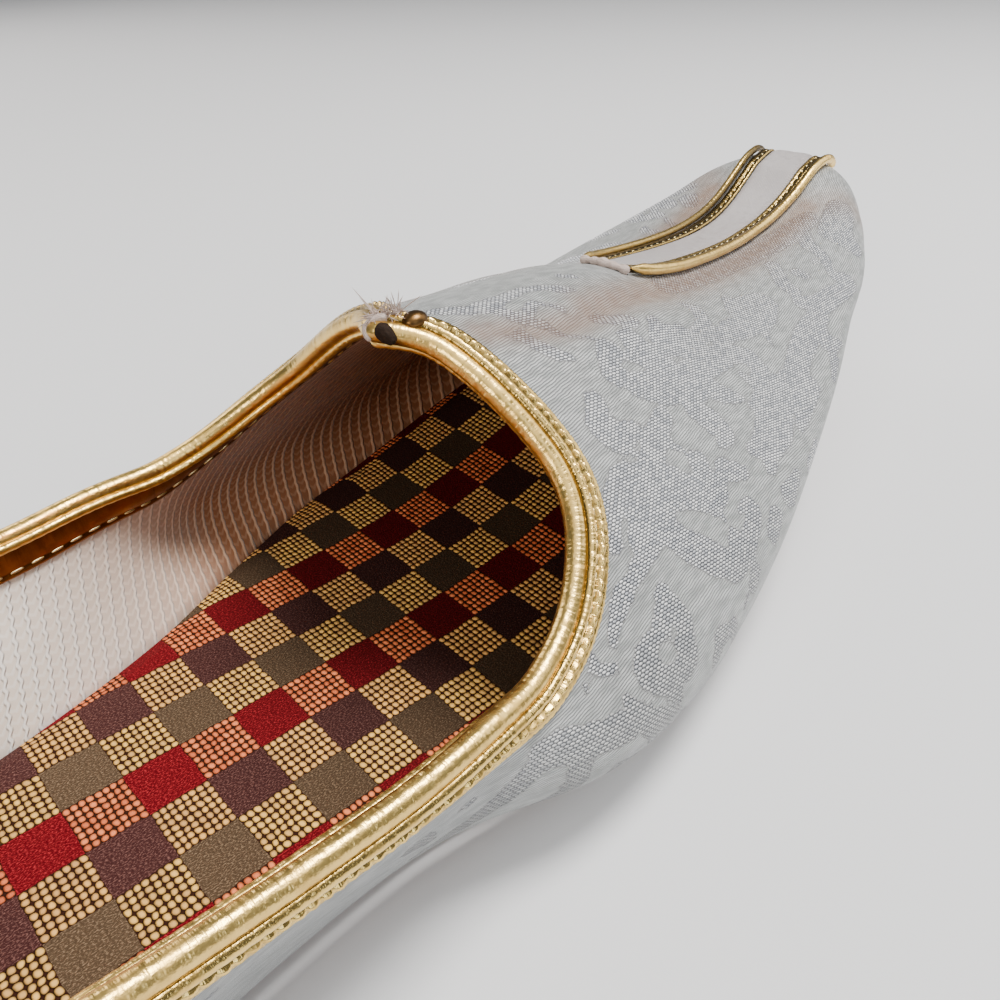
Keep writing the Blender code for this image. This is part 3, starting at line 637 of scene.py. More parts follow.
# Figures of the brocade on the near side, each a run of discs (mm along, mm of girth, radius).
FIGURES = (
    ((167, 56, 2), (166, 60, 4), (163.5, 63, 5), (159, 62.5, 4)),
    ((159, 62.5, 4), (160.5, 67, 2), (161, 69.5, 1)),
    ((150, 56, 1), (149.5, 57, 1), (151, 58.5, 1), (152.5, 59, 1)),
    ((147, 58, 0.5), (147, 59, 0.5)),
    ((152, 63.5, 1), (153, 67, 2), (157, 72, 3.5), (161, 75, 2.5)),
    ((150.5, 66.5, 2.5), (144, 65, 2.5), (139.5, 63.5, 3), (136.5, 62.5, 2)),
    ((148, 74, 2), (151.5, 76.5, 2.5), (155, 78.5, 2), (158, 80.5, 1)),
    ((173, 41, 5), (173.5, 45.5, 5), (169.5, 47.5, 3.5)),
    ((169.5, 40, 2.5), (165.5, 42, 2), (163.5, 45, 2)),
    ((169, 48, 3), (163.5, 51, 1.5), (159.5, 52, 2), (156.5, 54, 1.5), (154.5, 56, 1)),
    ((175.5, 47, 1), (175, 50, 2.5), (177.5, 53.5, 3), (181, 57, 3), (184, 60, 2.5), (188.5, 59.5, 2.5)),
    ((188.5, 59.5, 2.5), (193, 57.5, 2), (196.5, 55.5, 1.5), (196, 53.5, 1), (193, 54, 1)),
    ((188, 53.5, 0.5), (187.5, 50.5, 2), (184.5, 47, 3), (181.5, 44, 3.5)),
    ((188, 57, 2), (186.5, 59.5, 2)),
    ((201, 58.5, 2), (198, 60.5, 2)),
    ((189.5, 63, 1.5), (187, 65, 1.5)),
    ((184.5, 65.5, 0.5), (183, 67, 0.5)),
    ((196.5, 14.5, 2), (199.5, 17, 2.5)),
    ((225.5, 10, 3), (238, 10.5, 3), (256, 10.5, 3.5), (269, 12, 3.5), (280, 14, 3.5), (288, 15, 2.5)),
    ((189, 20.5, 2.5), (187, 24, 3), (194, 25, 3.5), (189.5, 27.5, 3), (193.5, 30, 3.5)),
    ((195.5, 20.5, 2.5), (198.5, 25.5, 3), (200, 27.5, 2)),
    ((205.5, 19.5, 2), (204, 23, 3.5), (211, 24, 3.5), (221, 22, 3), (224.5, 18.5, 2), (222, 16.5, 1)),
    ((237, 19.5, 2), (237, 23, 4.5), (245.5, 23.5, 3.5), (240, 26.5, 3), (228, 25.5, 3), (219.5, 26, 1.5)),
    ((236, 28.5, 1.5), (234, 32, 0.5)),
    ((202, 30.5, 2.5), (210, 29.5, 3.5), (219.5, 29.5, 2.5), (224.5, 32, 2.5), (224, 35, 2.5),
     (219, 37.5, 2), (217, 34.5, 1)),
    ((200.5, 33.5, 2.5), (204.5, 33, 2.5), (206.5, 35.5, 2.5), (211.5, 38.5, 1)),
    ((194.5, 29.5, 4), (199.5, 32, 4), (197.5, 36, 2.5), (199.5, 39.5, 3), (200.5, 42, 2.5), (198, 43, 1.5)),
    ((254, 28.5, 2), (257, 31.5, 3), (264.5, 32, 2.5), (270.5, 33, 2)),
    ((255, 33, 2.5), (246.5, 34.5, 3), (238.5, 37, 3), (231.5, 40, 3), (224, 41, 3.5), (216.5, 40.5, 2.5)),
    ((216.5, 40.5, 2.5), (212.5, 40.5, 1)),
    ((220.5, 42.5, 4), (215, 45.5, 4.5), (208.5, 48, 3.5), (204.5, 47, 1.5)),
    ((210, 48.5, 2.5), (206.5, 51.5, 1.5)),
    ((251, 35.5, 2), (249, 38.5, 2.5), (253, 40, 1)),
    ((234, 42.5, 2.5), (227, 45, 2.5), (222, 48, 1)),
    ((295.5, 20.5, 4), (287, 22.5, 4.5), (287, 27, 3.5)),
    ((282, 16.5, 1.5), (277.5, 19.5, 2), (275.5, 24.5, 1.5), (271, 29, 1.5), (273, 32, 3)),
    ((264.5, 23, 2), (264.5, 24.5, 1.5)),
    ((272, 23.5, 1), (272, 24, 1)),
    ((263, 17.5, 2), (257, 22.5, 2), (256.5, 25.5, 2)),
    ((178.5, 26.5, 2), (176, 30, 3), (177, 33, 3), (181.5, 33, 1.5)),
    ((176.5, 33.5, 1.5), (178, 36.5, 0.5)),
    ((189.5, 34, 2), (184.5, 36, 2.5), (180, 39, 2.5), (176, 41, 3), (170.5, 41, 3.5)),
    ((186, 38, 1), (188, 40.5, 0.5)),
    ((189.5, 43.5, 2.5), (188.5, 45.5, 2)),
    ((194.5, 47, 2.5), (199, 49.5, 1.5)),
    ((189.5, 48.5, 3.5), (183, 46, 3), (177, 43.5, 3)),
    ((247, 41.5, 1.5), (242, 44.5, 1)),
    ((224, 52.5, 1.5), (219.5, 55.5, 2.5)),
    ((213, 54.5, 1), (207.5, 57, 2.5)),
    ((166.5, 2, 1), (170, 3.5, 1.5), (173, 5, 1.5), (176.5, 5, 2), (180, 4.5, 1.5), (187, 3.5, 1)),
    ((187, 3.5, 1), (192, 4.5, 1), (195, 6.5, 1.5), (197.5, 7.5, 0.5)),
    ((177, 6.5, 1.5), (179, 9, 1.5), (180.5, 10, 1.5), (185.5, 7.5, 1), (188, 9, 0.5), (190, 10.5, 1)),
    ((180.5, 10.5, 1), (183.5, 12, 1), (185.5, 15, 1), (188, 17.5, 0.5)),
    ((173.5, 12.5, 0.5), (177.5, 12.5, 1.5), (177.5, 15, 2), (178.5, 17.5, 1.5), (181.5, 19.5, 0.5)),
    ((164, 6.5, 0.5), (165.5, 7, 1), (167, 8.5, 0.5)),
    ((199.5, 2.5, 1), (202, 4, 1)),
    ((145, 64.5, 2), (138, 63, 2), (133.5, 66, 2), (129.5, 69.5, 2), (125.5, 73.5, 2), (121, 76, 1.5)),
    ((141.5, 68, 2), (140.5, 72.5, 2), (137, 77.5, 2), (131.5, 79.5, 1.5)),
    ((119, 68, 2.5), (121, 70.5, 1)),
    ((125, 65, 1), (126.5, 64.5, 0.5)),
    ((204, 66, 1.5), (210, 64, 2), (217, 62.5, 1.5), (223, 60, 0.5)),
    ((171, 70, 1), (174, 67, 2), (178.5, 67.5, 1.5), (178, 71, 1)))
OPENINGS = (
    ((162, 62.5, 1.5), (162.5, 62.5, 1.5)),
    ((165, 61, 0.5), (165.5, 61, 0.5)),
    ((165.5, 48, 0.5), (160.5, 49, 0.5)),
    ((215.5, 19.5, 2.5), (219.5, 18.5, 2)),
    ((190.5, 24, 1), (193.5, 25.5, 0.5)))
REPEAT = 130.0          # the cloth's repeat along the shoe, in mm
FAR_SHIFT = -42.0       # the far side of the shoe falls elsewhere on the cloth
# Copies of the figures: (side, shift along the shoe, first and last mm where the copy is kept).
COPIES = ((1, 0.0, 0.0, 999.0), (1, -REPEAT, -99.0, 117.0), (-1, FAR_SHIFT, 74.0, 254.0),
          (-1, FAR_SHIFT - REPEAT, -99.0, 74.0), (-1, FAR_SHIFT + REPEAT, 254.0, 999.0))


def cloth_figures(source):
    """Runs of discs over the whole upper, from those of the near side."""
    laid = []
    for side, shift, low, high in COPIES:
        for figure in source:
            moved = np.array(figure) * (1, side, 1) + (shift, 0, 0)
            if moved[:, 0].min() >= low and moved[:, 0].max() <= high:
                laid.append(moved)
    return laid


def depth_in(place, runs):
    """How far inside the nearest run of discs each place lies, in mm."""
    best = np.full(place.shape[:-1], -50.0)
    for run in runs:
        near = np.abs(place[..., 0] - run[:, 0].mean()) < 40
        spot = place[near]
        for a, b in zip(run[:-1], run[1:]):
            leg = b[:2] - a[:2]
            t = np.clip(((spot - a[:2]) @ leg) / max(leg @ leg, 1e-9), 0, 1)
            far = np.linalg.norm(spot - a[:2] - t[:, None] * leg, axis=1)
            best[near] = np.maximum(best[near], a[2] + (b[2] - a[2]) * t - far)
    return best


# Creases of the worn cloth, each a run of places (mm along, mm of girth) with its half width and rise in mm.
CREASES = (
    (((172, 11), (184, 14), (196, 13.5), (212, 12.2), (232, 11.5)), 2.4, -1.5),
    (((176, 16), (190, 19), (206, 18.5), (224, 17)), 3.0, 0.9),
    (((186, 34), (198, 37), (212, 40)), 5.0, -0.25),
    (((262, 20), (272, 27), (279, 36)), 4.0, -0.25),
    (((120, 58), (134, 66), (150, 72)), 4.0, -0.25))


def crease_height(place):
    """Rise of the cloth over the last, in metres. The far side is creased less."""
    total = np.zeros(place.shape[:-1])
    for side in (1, -1):
        for spots, width, rise in CREASES:
            run = through(np.array(spots, float), np.linspace(0, len(spots) - 1, 24)) * (1, side)
            far = np.full(place.shape[:-1], 99.0)
            fade = np.zeros(place.shape[:-1])
            for k, (a, b) in enumerate(zip(run[:-1], run[1:])):
                leg = b - a
                t = np.clip(((place - a) @ leg) / (leg @ leg), 0, 1)
                d = np.linalg.norm(place - a - t[..., None] * leg, axis=-1)
                near = d < far
                far = np.where(near, d, far)
                fade = np.where(near, np.sin(np.pi * (k + t + 0.6) / (len(run) + 0.2)), fade)
            total += rise * (0.6 if side < 0 else 1.0) * np.exp(-(far / width) ** 2) * np.clip(fade, 0, 1)
    return total * MM


# Painted shadow on the cloth beside the toe strip and in the main crease, brown-pink with the gold's warm
# reflection, each a run of places (mm along, mm of girth) with its half width in mm and its strength.
PAINTED_SHADOWS = (
    (((170, 10), (184, 13), (196, 13), (212, 12), (232, 11)), 3.2, 0.85),
    (((196, 12), (222, 11), (250, 11.5), (272, 12), (292, 13)), 4.2, 0.95),
    (((292, 13), (300, 20), (303, 27)), 5.0, 0.55))


def painted_shadow_at(place):
    """Strength of the painted shadow at each place of the cloth."""
    total = np.zeros(place.shape[:-1])
    for spots, width, strength in PAINTED_SHADOWS:
        run = through(np.array(spots, float), np.linspace(0, len(spots) - 1, 24))
        far = np.min([np.hypot(place[..., 0] - u, np.abs(place[..., 1]) - v) for u, v in run], axis=0)
        total = np.maximum(total, strength * np.exp(-(far / width) ** 2))
    return total


def upper_grid(rim_ribs, ridge_ribs, up_steps):
    """Rows and shares of a grid over one side of the upper, from the sole to the top edge."""
    on_rim = through(RIM, np.linspace(0, len(RIM) - 1, rim_ribs))
    on_rim[-1] = RIM[-1]
    ridge = np.concatenate((RIM[-1:], RIDGE))
    on_ridge = through(ridge, np.linspace(0, len(ridge) - 1, ridge_ribs + 1))[1:]
    on_ridge[:, 1] = 1
    ends = np.concatenate((on_rim, on_ridge))
    steps = np.linspace(0, 1, up_steps)
    return ends[:, 2:3] + (ends[:, 0:1] - ends[:, 2:3]) * steps**1.6, ends[:, 1:2] * steps


def painted(tree, name):
    """Mark of the mesh as a number, such as how much painted shade a hollow gets."""
    node = tree.nodes.new("ShaderNodeAttribute")
    node.attribute_name = name
    return node.outputs["Fac"]


brocade_finish, tree, shader = new_finish("brocade", 0.4)
GROUND, GROUND_SHADE = (0.52, 0.53, 0.52), (0.20, 0.21, 0.205)
BEAD_LONG, BEAD_WIDE, SATIN_PITCH = 0.92, 0.47, 0.42        # mm of cloth
BEAD, BEAD_DULL, BEAD_GAP = (1.0, 1.0, 1.0), (0.50, 0.52, 0.56), (0.045, 0.05, 0.06)
BEAD_LOW_SHADE = (0.26, 0.26, 0.235)        # painted shade: the figures look greyer low on the side
# The first colour on the next line is painted shadow, brown-pink, beside the toe strip and in the main
# crease.
SHADOW_BROWN, FIGURE_EDGE = (0.27, 0.145, 0.085), (0.30, 0.295, 0.29)
place = cloth_place(tree)
cloth_u, cloth_v = split(tree, place)
ragged = times(tree, minus(tree, speckle(tree, place, 0.9, 3.0), 0.5), 1.5)
figure_depth = plus(tree, painted(tree, "figure"), ragged)
in_figure = ramp(tree, figure_depth, -0.10, 0.14)
bead_u = plus(tree, cloth_u, times(tree, cloth_v, 0.12))
bead_v = minus(tree, cloth_v, times(tree, cloth_u, 0.10))
beads = place_effect(tree, thread_beads, stagger=0.5,
                     along=times(tree, bead_u, 1 / BEAD_LONG), across=times(tree, bead_v, 1 / BEAD_WIDE))
drift = times(tree, speckle(tree, place, 0.5, 2.0), 0.5)
diagonal = plus(tree, plus(tree, times(tree, cloth_u, 0.16), cloth_v), drift)
satin_wave = reckon(tree, "SINE", times(tree, diagonal, 2 * np.pi / SATIN_PITCH))
satin = times(tree, plus(tree, satin_wave, 1.0), 0.5)
slub = speckle(tree, place, 1.1, 4.0, (0.35, 1.6, 1.0))
thread = ramp(tree, times(tree, satin, plus(tree, slub, 0.40)), 0.0, 0.50)
# Painted sheen: cloudy patches where the satin lines of the ground are brighter.
painted_sheen_patch = speckle(tree, place, 0.55, 5.0, (0.5, 1.4, 1.0))
silk_glow = times(tree, thread, ramp(tree, painted_sheen_patch, 0.32, 0.66, 0.30, 1.0))
ground_colour = dye(tree, silk_glow, GROUND_SHADE, GROUND)
# Painted highlight on the bead tops and painted shade in the gaps; the random brightness of the tops is
# painted sparkle.
bead_shine = ramp(tree, beads["Height"], 0.15, 0.76)
bead_top = dye(tree, ramp(tree, beads["Row Tone"], 0.0, 0.9), BEAD_DULL, BEAD)
bead_colour = dye(tree, bead_shine, BEAD_GAP, bead_top)
# Painted shade on the beads of the figures low on the side.
low_side_shade = ramp(tree, reckon(tree, "ABSOLUTE", cloth_v), 50.0, 74.0, 0.0, 0.75)
bead_colour = dye(tree, times(tree, low_side_shade, bead_shine), bead_colour, BEAD_LOW_SHADE)
edge_line = times(tree, ramp(tree, figure_depth, -0.34, -0.04), ramp(tree, figure_depth, 0.30, 0.02))
cloth_colour = dye(tree, in_figure, ground_colour, bead_colour)
cloth_colour = dye(tree, times(tree, edge_line, 0.55), cloth_colour, FIGURE_EDGE)
# Painted shadow beside the toe strip and in the main crease.
cloth_colour = dye(tree, times(tree, painted(tree, "blush"), 0.80), cloth_colour, SHADOW_BROWN)
wire(tree, shader.inputs["Base Color"], cloth_colour)
wire(tree, shader.inputs["Roughness"], ramp(tree, in_figure, 0.0, 1.0, 0.42, 0.24))
shader.inputs["Sheen Weight"].default_value = 0.1
shader.inputs["Specular IOR Level"].default_value = 0.9
raised = plus(tree, times(tree, beads["Height"], 0.75), 0.30)
relief(tree, shader, dye(tree, in_figure, times(tree, thread, 0.35), raised), 0.00060)

upper_row, upper_up = upper_grid(RIM_RIBS, RIDGE_RIBS, UP_STEPS)
laid_figures, cut_openings = cloth_figures(FIGURES), cloth_figures(OPENINGS)
cloth_sheets = []
for side in (1, -1):        # near side first
    place_mm = brocade_place(upper_row, upper_up, side)
    inside = depth_in(place_mm, laid_figures)
    inside = np.minimum(inside, -depth_in(place_mm, cut_openings))
    lift = crease_height(place_mm) * np.clip(upper_up * 9, 0, 1)
    points = skin(upper_row, upper_up, lift) * (MIRROR if side > 0 else 1)
    step = slice(None) if side > 0 else slice(None, None, -1)
    marks = {"figure": inside[step], "blush": painted_shadow_at(place_mm)[step]}
    cloth_sheets.append((points[step], place_mm[step], marks))
sew("brocade_upper", cloth_sheets, brocade_finish, ("upper",))

# Lining. A knitted mesh glued inside the upper: wavy ribs of pale thread climb from the sock to the rim
# over a thin net. It is cream at the heel; towards the toe it is stretched and painted brown as shade.
RIB_PITCH, KNIT_PITCH, WAVE, LEAN = 2.5, 1.7, 0.17, 0.42        # mm of cloth, and lean a mm of girth
NET_CREAM, NET_SHADED, RIB_SHADED = (0.86, 0.74, 0.63), (0.30, 0.12, 0.05), (0.66, 0.40, 0.25)
RIB_DULL, RIB_CREAM = (0.96, 0.89, 0.81), (1.0, 0.96, 0.90)
lining_finish, tree, shader = new_finish("lining_mesh", 0.85)
place = cloth_place(tree)
mesh_u, mesh_v = split(tree, place)
toe_shade_and_stretch = painted(tree, "deep")
open_net = ramp(tree, toe_shade_and_stretch, 0.0, 1.0, 1.0, 0.45)
wave = times(tree, reckon(tree, "SINE", times(tree, mesh_v, 2 * np.pi / KNIT_PITCH)), WAVE)
wave = times(tree, wave, open_net)
rib_place = plus(tree, times(tree, plus(tree, mesh_u, wave), 1 / RIB_PITCH), 0.5)
rib_far = reckon(tree, "ABSOLUTE", minus(tree, reckon(tree, "FRACT", rib_place), 0.5))
rib = ramp(tree, rib_far, 0.20, 0.06)
cross_phase = plus(tree, times(tree, mesh_v, 1 / KNIT_PITCH), times(tree, rib_far, 1.2))
cross_far = reckon(tree, "ABSOLUTE", minus(tree, reckon(tree, "FRACT", cross_phase), 0.5))
cross = ramp(tree, cross_far, 0.26, 0.08)
thread_mask = reckon(tree, "MAXIMUM", rib, times(tree, times(tree, cross, 0.55), open_net))
fuzz = speckle(tree, place, 1.6, 4.0)
# Painted shade: the net and ribs turn brown towards the toe.
net_colour = dye(tree, toe_shade_and_stretch, NET_CREAM, NET_SHADED)
rib_colour = dye(tree, toe_shade_and_stretch, dye(tree, fuzz, RIB_DULL, RIB_CREAM), RIB_SHADED)
lining_colour = dye(tree, thread_mask, net_colour, rib_colour)
wire(tree, shader.inputs["Base Color"], lining_colour)
shader.inputs["Sheen Weight"].default_value = 0.3
shader.inputs["Specular IOR Level"].default_value = 0.2
relief(tree, shader, rib, 0.0003)
lining_row, lining_up = upper_grid(110, 70, 40)
lining_sheets = []
for side in (1, -1):
    place_mm = brocade_place(lining_row, lining_up, side)
    # Painted shade: the lining darkens towards the toe, where the knit also stretches.
    deep = np.clip((place_mm[..., 0] - 105) / 45, 0, 1)
    place_mm[..., 0] -= LEAN * (62 - np.abs(place_mm[..., 1]))
    points = skin(lining_row, lining_up, -WALL) * (MIRROR if side > 0 else 1)
    step = slice(None, None, -1) if side > 0 else slice(None)
    lining_sheets.append((points[step], place_mm[step], {"deep": deep[step]}))
sew("lining", lining_sheets, lining_finish)

# Topline. Gold foil leather in three parts: a corded piping on the rim, a flat binding sewn down outside
# it and a facing folded to the inside. Foil creases across its length where it turns round the rim.
PIPING = 0.0016         # radius of the cord
GOLD, GOLD_RUBBED = (0.95, 0.65, 0.20), (0.62, 0.37, 0.09)
# Painted shade for the hollows, and a painted orange reflection of the red sock.
GOLD_SHADE_DARK, GOLD_SOCK_REFLECTION = (0.07, 0.045, 0.012), (0.62, 0.24, 0.06)

foil_creases, creases_in, creases_out = new_effect(
    "foil creases",
    (("Place", "NodeSocketVector", None), ("Pitch", "NodeSocketFloat", 1.0)),
    ("Height", "Rub"))
foil_across = reckon(foil_creases, "DIVIDE", 1.0, creases_in["Pitch"])
fine_creases = speckle(foil_creases, creases_in["Place"], foil_across, 3.0, (1.0, 0.10, 1.0))
crackle = speckle(foil_creases, creases_in["Place"], 1.3, 3.0)
crackle = times(foil_creases, crackle, 0.35)
wire(foil_creases, creases_out["Height"], plus(foil_creases, fine_creases, crackle))
rubbed = speckle(foil_creases, creases_in["Place"], 0.35, 5.0)
wire(foil_creases, creases_out["Rub"], ramp(foil_creases, rubbed, 0.42, 0.72))


def gold_foil(name, pitch, depth, colour=GOLD, shade=GOLD_RUBBED, rough=0.23):
    """Foil on thin leather: creased across the band, duller where it is rubbed, with a painted reflection of
    the red sock and painted shade in the hollows, where the mesh marks them.
    """
    surface, tree, shader = new_finish(name, 0.3, 1.0)
    foil = place_effect(tree, foil_creases, place=cloth_place(tree), pitch=pitch)
    worn = dye(tree, times(tree, foil["Rub"], 0.5), colour, shade)
    # Painted orange reflection of the red sock where the mesh is marked with it.
    worn = dye(tree, times(tree, painted(tree, "ember"), 0.85, clamp=True), worn, GOLD_SOCK_REFLECTION)
    # Painted shade and dark reflections where the mesh marks a hollow.
    worn = dye(tree, times(tree, painted(tree, "hollow"), 0.9, clamp=True), worn, GOLD_SHADE_DARK)
    wire(tree, shader.inputs["Base Color"], worn)
    wire(tree, shader.inputs["Roughness"], ramp(tree, foil["Rub"], 0.0, 1.0, rough, rough + 0.10))
    relief(tree, shader, foil["Height"], depth)
    return surface


piping_gold = gold_foil("piping_gold", 1.3, 0.00022, rough=0.28)


def settle(target, row, up):
    """Row and share of the point of the last nearest to each target."""
    for _ in range(8):
        at = last_point(row, up)
        by_row = (last_point(row + 0.01, up) - at) / 0.01
        by_up = (at - last_point(row, up - 0.002)) / 0.002
        miss = target - at
        a, b, c = (by_row * by_row).sum(-1), (by_row * by_up).sum(-1), (by_up * by_up).sum(-1)
        p, q = (miss * by_row).sum(-1), (miss * by_up).sum(-1)
        det = a * c - b * b
        row = np.clip(row + (c * p - b * q) / det, 0, LAST_ROW)
        up = np.clip(up + (a * q - b * p) / det, 0.01, 1)
    return row, up


def unit(vectors):
    return vectors / np.linalg.norm(vectors, axis=-1, keepdims=True)


def way_round(line):
    """Direction at each point of a line that closes on itself, its first point repeated at the end."""
    return np.concatenate((line[1:], line[1:2])) - np.concatenate((line[-2:-1], line[:-1]))


# Once round the rim: rows, shares, side of the shoe, points, normals and the way down the upper.
RIM_POINTS = 800         # round one side of the shoe
rim_half = through(RIM, np.linspace(0, len(RIM) - 1, RIM_POINTS))
rim_half[-1] = RIM[-1]
rim_row, rim_up = (np.concatenate((rim_half[:, k], rim_half[-2:0:-1, k], rim_half[:1, k])) for k in (0, 1))
rim_side = np.concatenate((np.ones(RIM_POINTS), -np.ones(RIM_POINTS - 2), (1,)))
rim_flip = np.stack((np.ones_like(rim_side), rim_side, np.ones_like(rim_side)), 1)
rim_point = last_point(rim_row, rim_up) * rim_flip
rim_normal = outward(rim_row, rim_up) * rim_flip
rim_down = unit(np.cross(rim_normal, way_round(rim_point)))
rim_down *= np.sign((rim_down * (last_point(rim_row, rim_up - 0.02) * rim_flip - rim_point)).sum(1).mean())
rim_length = run_length(rim_point) / MM


def tube(centre, across, rise, radius, length, turns=16, closed=True):
    """Round cord along a line. Its ends are rounded unless it closes on itself."""
    angle = np.linspace(0, 2 * np.pi, turns + 1)
    radius = np.broadcast_to(np.asarray(radius, float), (len(centre),)).copy()
    if not closed:
        radius[0] = radius[-1] = 1e-7
        radius[1], radius[-2] = radius[1] * 0.8, radius[-2] * 0.8
    spoke = np.cos(angle)[:, None] * across[:, None] + np.sin(angle)[:, None] * rise[:, None]
    points = centre[:, None] + radius[:, None, None] * spoke
    return points, pairs(length[:, None], angle * radius.max() / MM)


def band_rows(depth, shares):
    """Rows and shares of lines beside the rim, at shares of a depth down from it."""
    keys = np.array((0.0, 0.34, 0.67, 1.0))
    targets = [(rim_point + rim_down * depth * key) * rim_flip for key in keys]
    lines = [settle(target, rim_row.copy(), rim_up - 0.05 * key) for target, key in zip(targets, keys)]
    rows, ups = (np.stack([line[k] for line in lines]) for k in (0, 1))
    out, at = [], np.arange(len(rim_row))
    for share in shares:
        share = np.broadcast_to(share, rim_row.shape)
        k = np.clip(np.searchsorted(keys, share, side="right") - 1, 0, 2)
        t = (share - keys[k]) / (keys[k + 1] - keys[k])
        row = rows[k, at] + (rows[k + 1, at] - rows[k, at]) * t
        up = ups[k, at] + (ups[k + 1, at] - ups[k, at]) * t
        out.append((row, np.minimum(up, 1.0)))
    return out


def pucker(length, pitch, seed):
    """Uneven swelling between stitches, 0 at a stitch and about 1 between two."""
    rng = np.random.default_rng(seed)
    count = int(round(length[-1] / pitch))
    size = rng.uniform(0.7, 1.15, count + 1)
    size[-1] = size[0]
    at = length / length[-1] * count
    return np.abs(np.sin(np.pi * at)) ** 0.6 * np.interp(at, np.arange(count + 1), size)


def band_sheet(depth, profile, puckers, scallops=0.0, sign=1):
    """Closed band round the rim, from a profile in the columns that BINDING_PROFILE names."""
    rows = band_rows(depth, [p[0] + p[4] * scallops for p in profile])
    lines, hollows = [], []
    for (share, height, swell, hollow, edge), (row, up) in zip(profile, rows):
        lines.append(skin(row, up, sign * (height + swell * puckers * MM)) * rim_flip)
        # Painted shade: darker in the hollows of the profile and in the dips between puckers.
        hollows.append(np.clip(hollow + 1.2 * swell * (0.62 - puckers), 0, 1))
    points = np.stack(lines + lines[:1], 1)
    hollows = np.stack(hollows + hollows[:1], 1)
    uv = pairs(rim_length[:, None], run_length(points[0]) / MM)
    return points[:, ::sign], uv[:, ::sign], {"hollow": hollows[:, ::sign]}


def stitch_run(line, up_way, pitch, long, wide, tall):
    """Short raised stitches along a line, one small pillow each."""
    length = run_length(line)
    count = int(length[-1] // pitch)
    sheets = []
    ring, ball = np.linspace(0, 2 * np.pi, 9), np.linspace(-np.pi / 2, np.pi / 2, 7)
    girth = np.cos(ball)[:, None] ** 0.7
    for k in range(count):
        at = (k + 0.5) * length[-1] / count
        here = np.array([np.interp(at, length, line[:, axis]) for axis in range(3)])
        ahead = np.array([np.interp(at + 0.0003, length, line[:, axis]) for axis in range(3)])
        forward = unit(ahead - here)
        top = np.array([np.interp(at, length, up_way[:, axis]) for axis in range(3)])
        side = unit(np.cross(top, forward))
        top = np.cross(forward, side)
        points = here + (np.sin(ball)[:, None, None] * forward * long / 2
                         + (girth * np.cos(ring))[..., None] * side * wide / 2
                         + (girth * np.sin(ring))[..., None] * top * tall / 2)
        sheets.append((points, pairs(at / MM + np.sin(ball)[:, None], ring)))
    return sheets


piping_centre = rim_point - rim_normal * WALL * 0.42 - rim_down * (PIPING - 0.0004)
piping_ahead = unit(way_round(piping_centre))
piping_across = unit(np.cross(rim_down, piping_ahead))
piping_rise = np.cross(piping_ahead, piping_across)
piping_swell = PIPING * (1.0 + 0.014 * pucker(rim_length, 2.6, 3) - 0.01)
piping_sheet = tube(piping_centre, piping_across, piping_rise, piping_swell, rim_length)
piping_out = unit(piping_sheet[0] - piping_centre[:, None])
inner_side = -(piping_out * rim_normal[:, None]).sum(-1)
reflection_patches = (0.35 + 0.65 * pucker(rim_length, 6.5, 21))[:, None]
piping_sock_reflection = np.exp(-((inner_side - 0.66) / 0.17) ** 2) * reflection_patches        # painted reflection of the red sock, in patches
# Painted shade on the inner side of the piping just past the throat, carried by the hollow mark.
past_throat = (rim_length - rim_length[RIM_POINTS - 1])[:, None]
throat_shade = np.clip(1.3 - np.abs(past_throat - 2.2) / 2.2, 0, 1) * np.clip(inner_side * 2.5 + 0.6, 0, 1)
piping_sheet += ({"ember": piping_sock_reflection, "hollow": throat_shade},)
sew("piping", [piping_sheet], piping_gold, ("topline_piping",))

# Throat. The trims start and end here: a pale hooked end of the piping's core, the dark tucked end of the
# binding, the open end of the cord as a near-black tube of painted shade, and a tuft of frayed threads.
# Places and sizes are mm from the rim there.
HOOK = ((0.9, -0.8, 0.5), (0.2, 0.1, 0.4), (-0.6, 0.8, 0.1),
        (-1.6, 1.1, -0.7), (-2.1, 0.6, -1.6), (-2.1, -0.1, -2.2))
HOOK_RADIUS = (0.60, 0.65, 0.60, 0.55, 0.45, 0.25)
TUCK, TUCK_SIZE = (3.2, -3.6, 0.2), (2.1, 1.7, 1.25)
OPEN = ((-1.5, -1.0, 0.0), (-1.5, -1.9, -0.2), (-1.4, -2.8, -0.8), (-1.2, -3.8, -1.7))
OPEN_RADIUS = (0.9, 1.3, 1.15, 0.6)
FRAY_FROM, FRAY_TO, FRAY_COUNT = (-1.0, 1.0, 0.9), (2.6, -2.2, 1.3), 130
throat_at = rim_point[RIM_POINTS - 1]


def raw_cloth(name, roughness, specular, scale, stretch, dark, light, depth):
    """Cut cloth or thread in two mixed tones."""
    surface, tree, shader = new_finish(name, roughness)
    shader.inputs["Specular IOR Level"].default_value = specular
    tone = speckle(tree, cloth_place(tree), scale, 4.0, stretch)
    wire(tree, shader.inputs["Base Color"], dye(tree, tone, dark, light))
    relief(tree, shader, tone, depth)
    return surface


def loose_tube(line, radius, length, turns, off=(0.0, 0.0, 1.0)):
    """Round cord or thread along an open line."""
    ahead = unit(np.gradient(line, axis=0))
    side = unit(np.cross(ahead, off))
    return tube(line, side, np.cross(ahead, side), radius, length, turns, False)


hook_share = np.linspace(0, len(HOOK) - 1, 30)
hook_line = throat_at + through(np.array(HOOK), hook_share) * MM - (0.0006, 0.0005, -0.0006)
hook_radius = np.interp(hook_share, np.arange(len(HOOK)), HOOK_RADIUS) * MM
raw_end = raw_cloth("raw_ends", 0.6, 0.5, 2.2, (0.5, 2.5, 1.0),
                    (0.42, 0.27, 0.21), (0.84, 0.73, 0.66), 0.0004)
sew("hooked_end", [loose_tube(hook_line, hook_radius, hook_share * 1.2, 12)], raw_end)

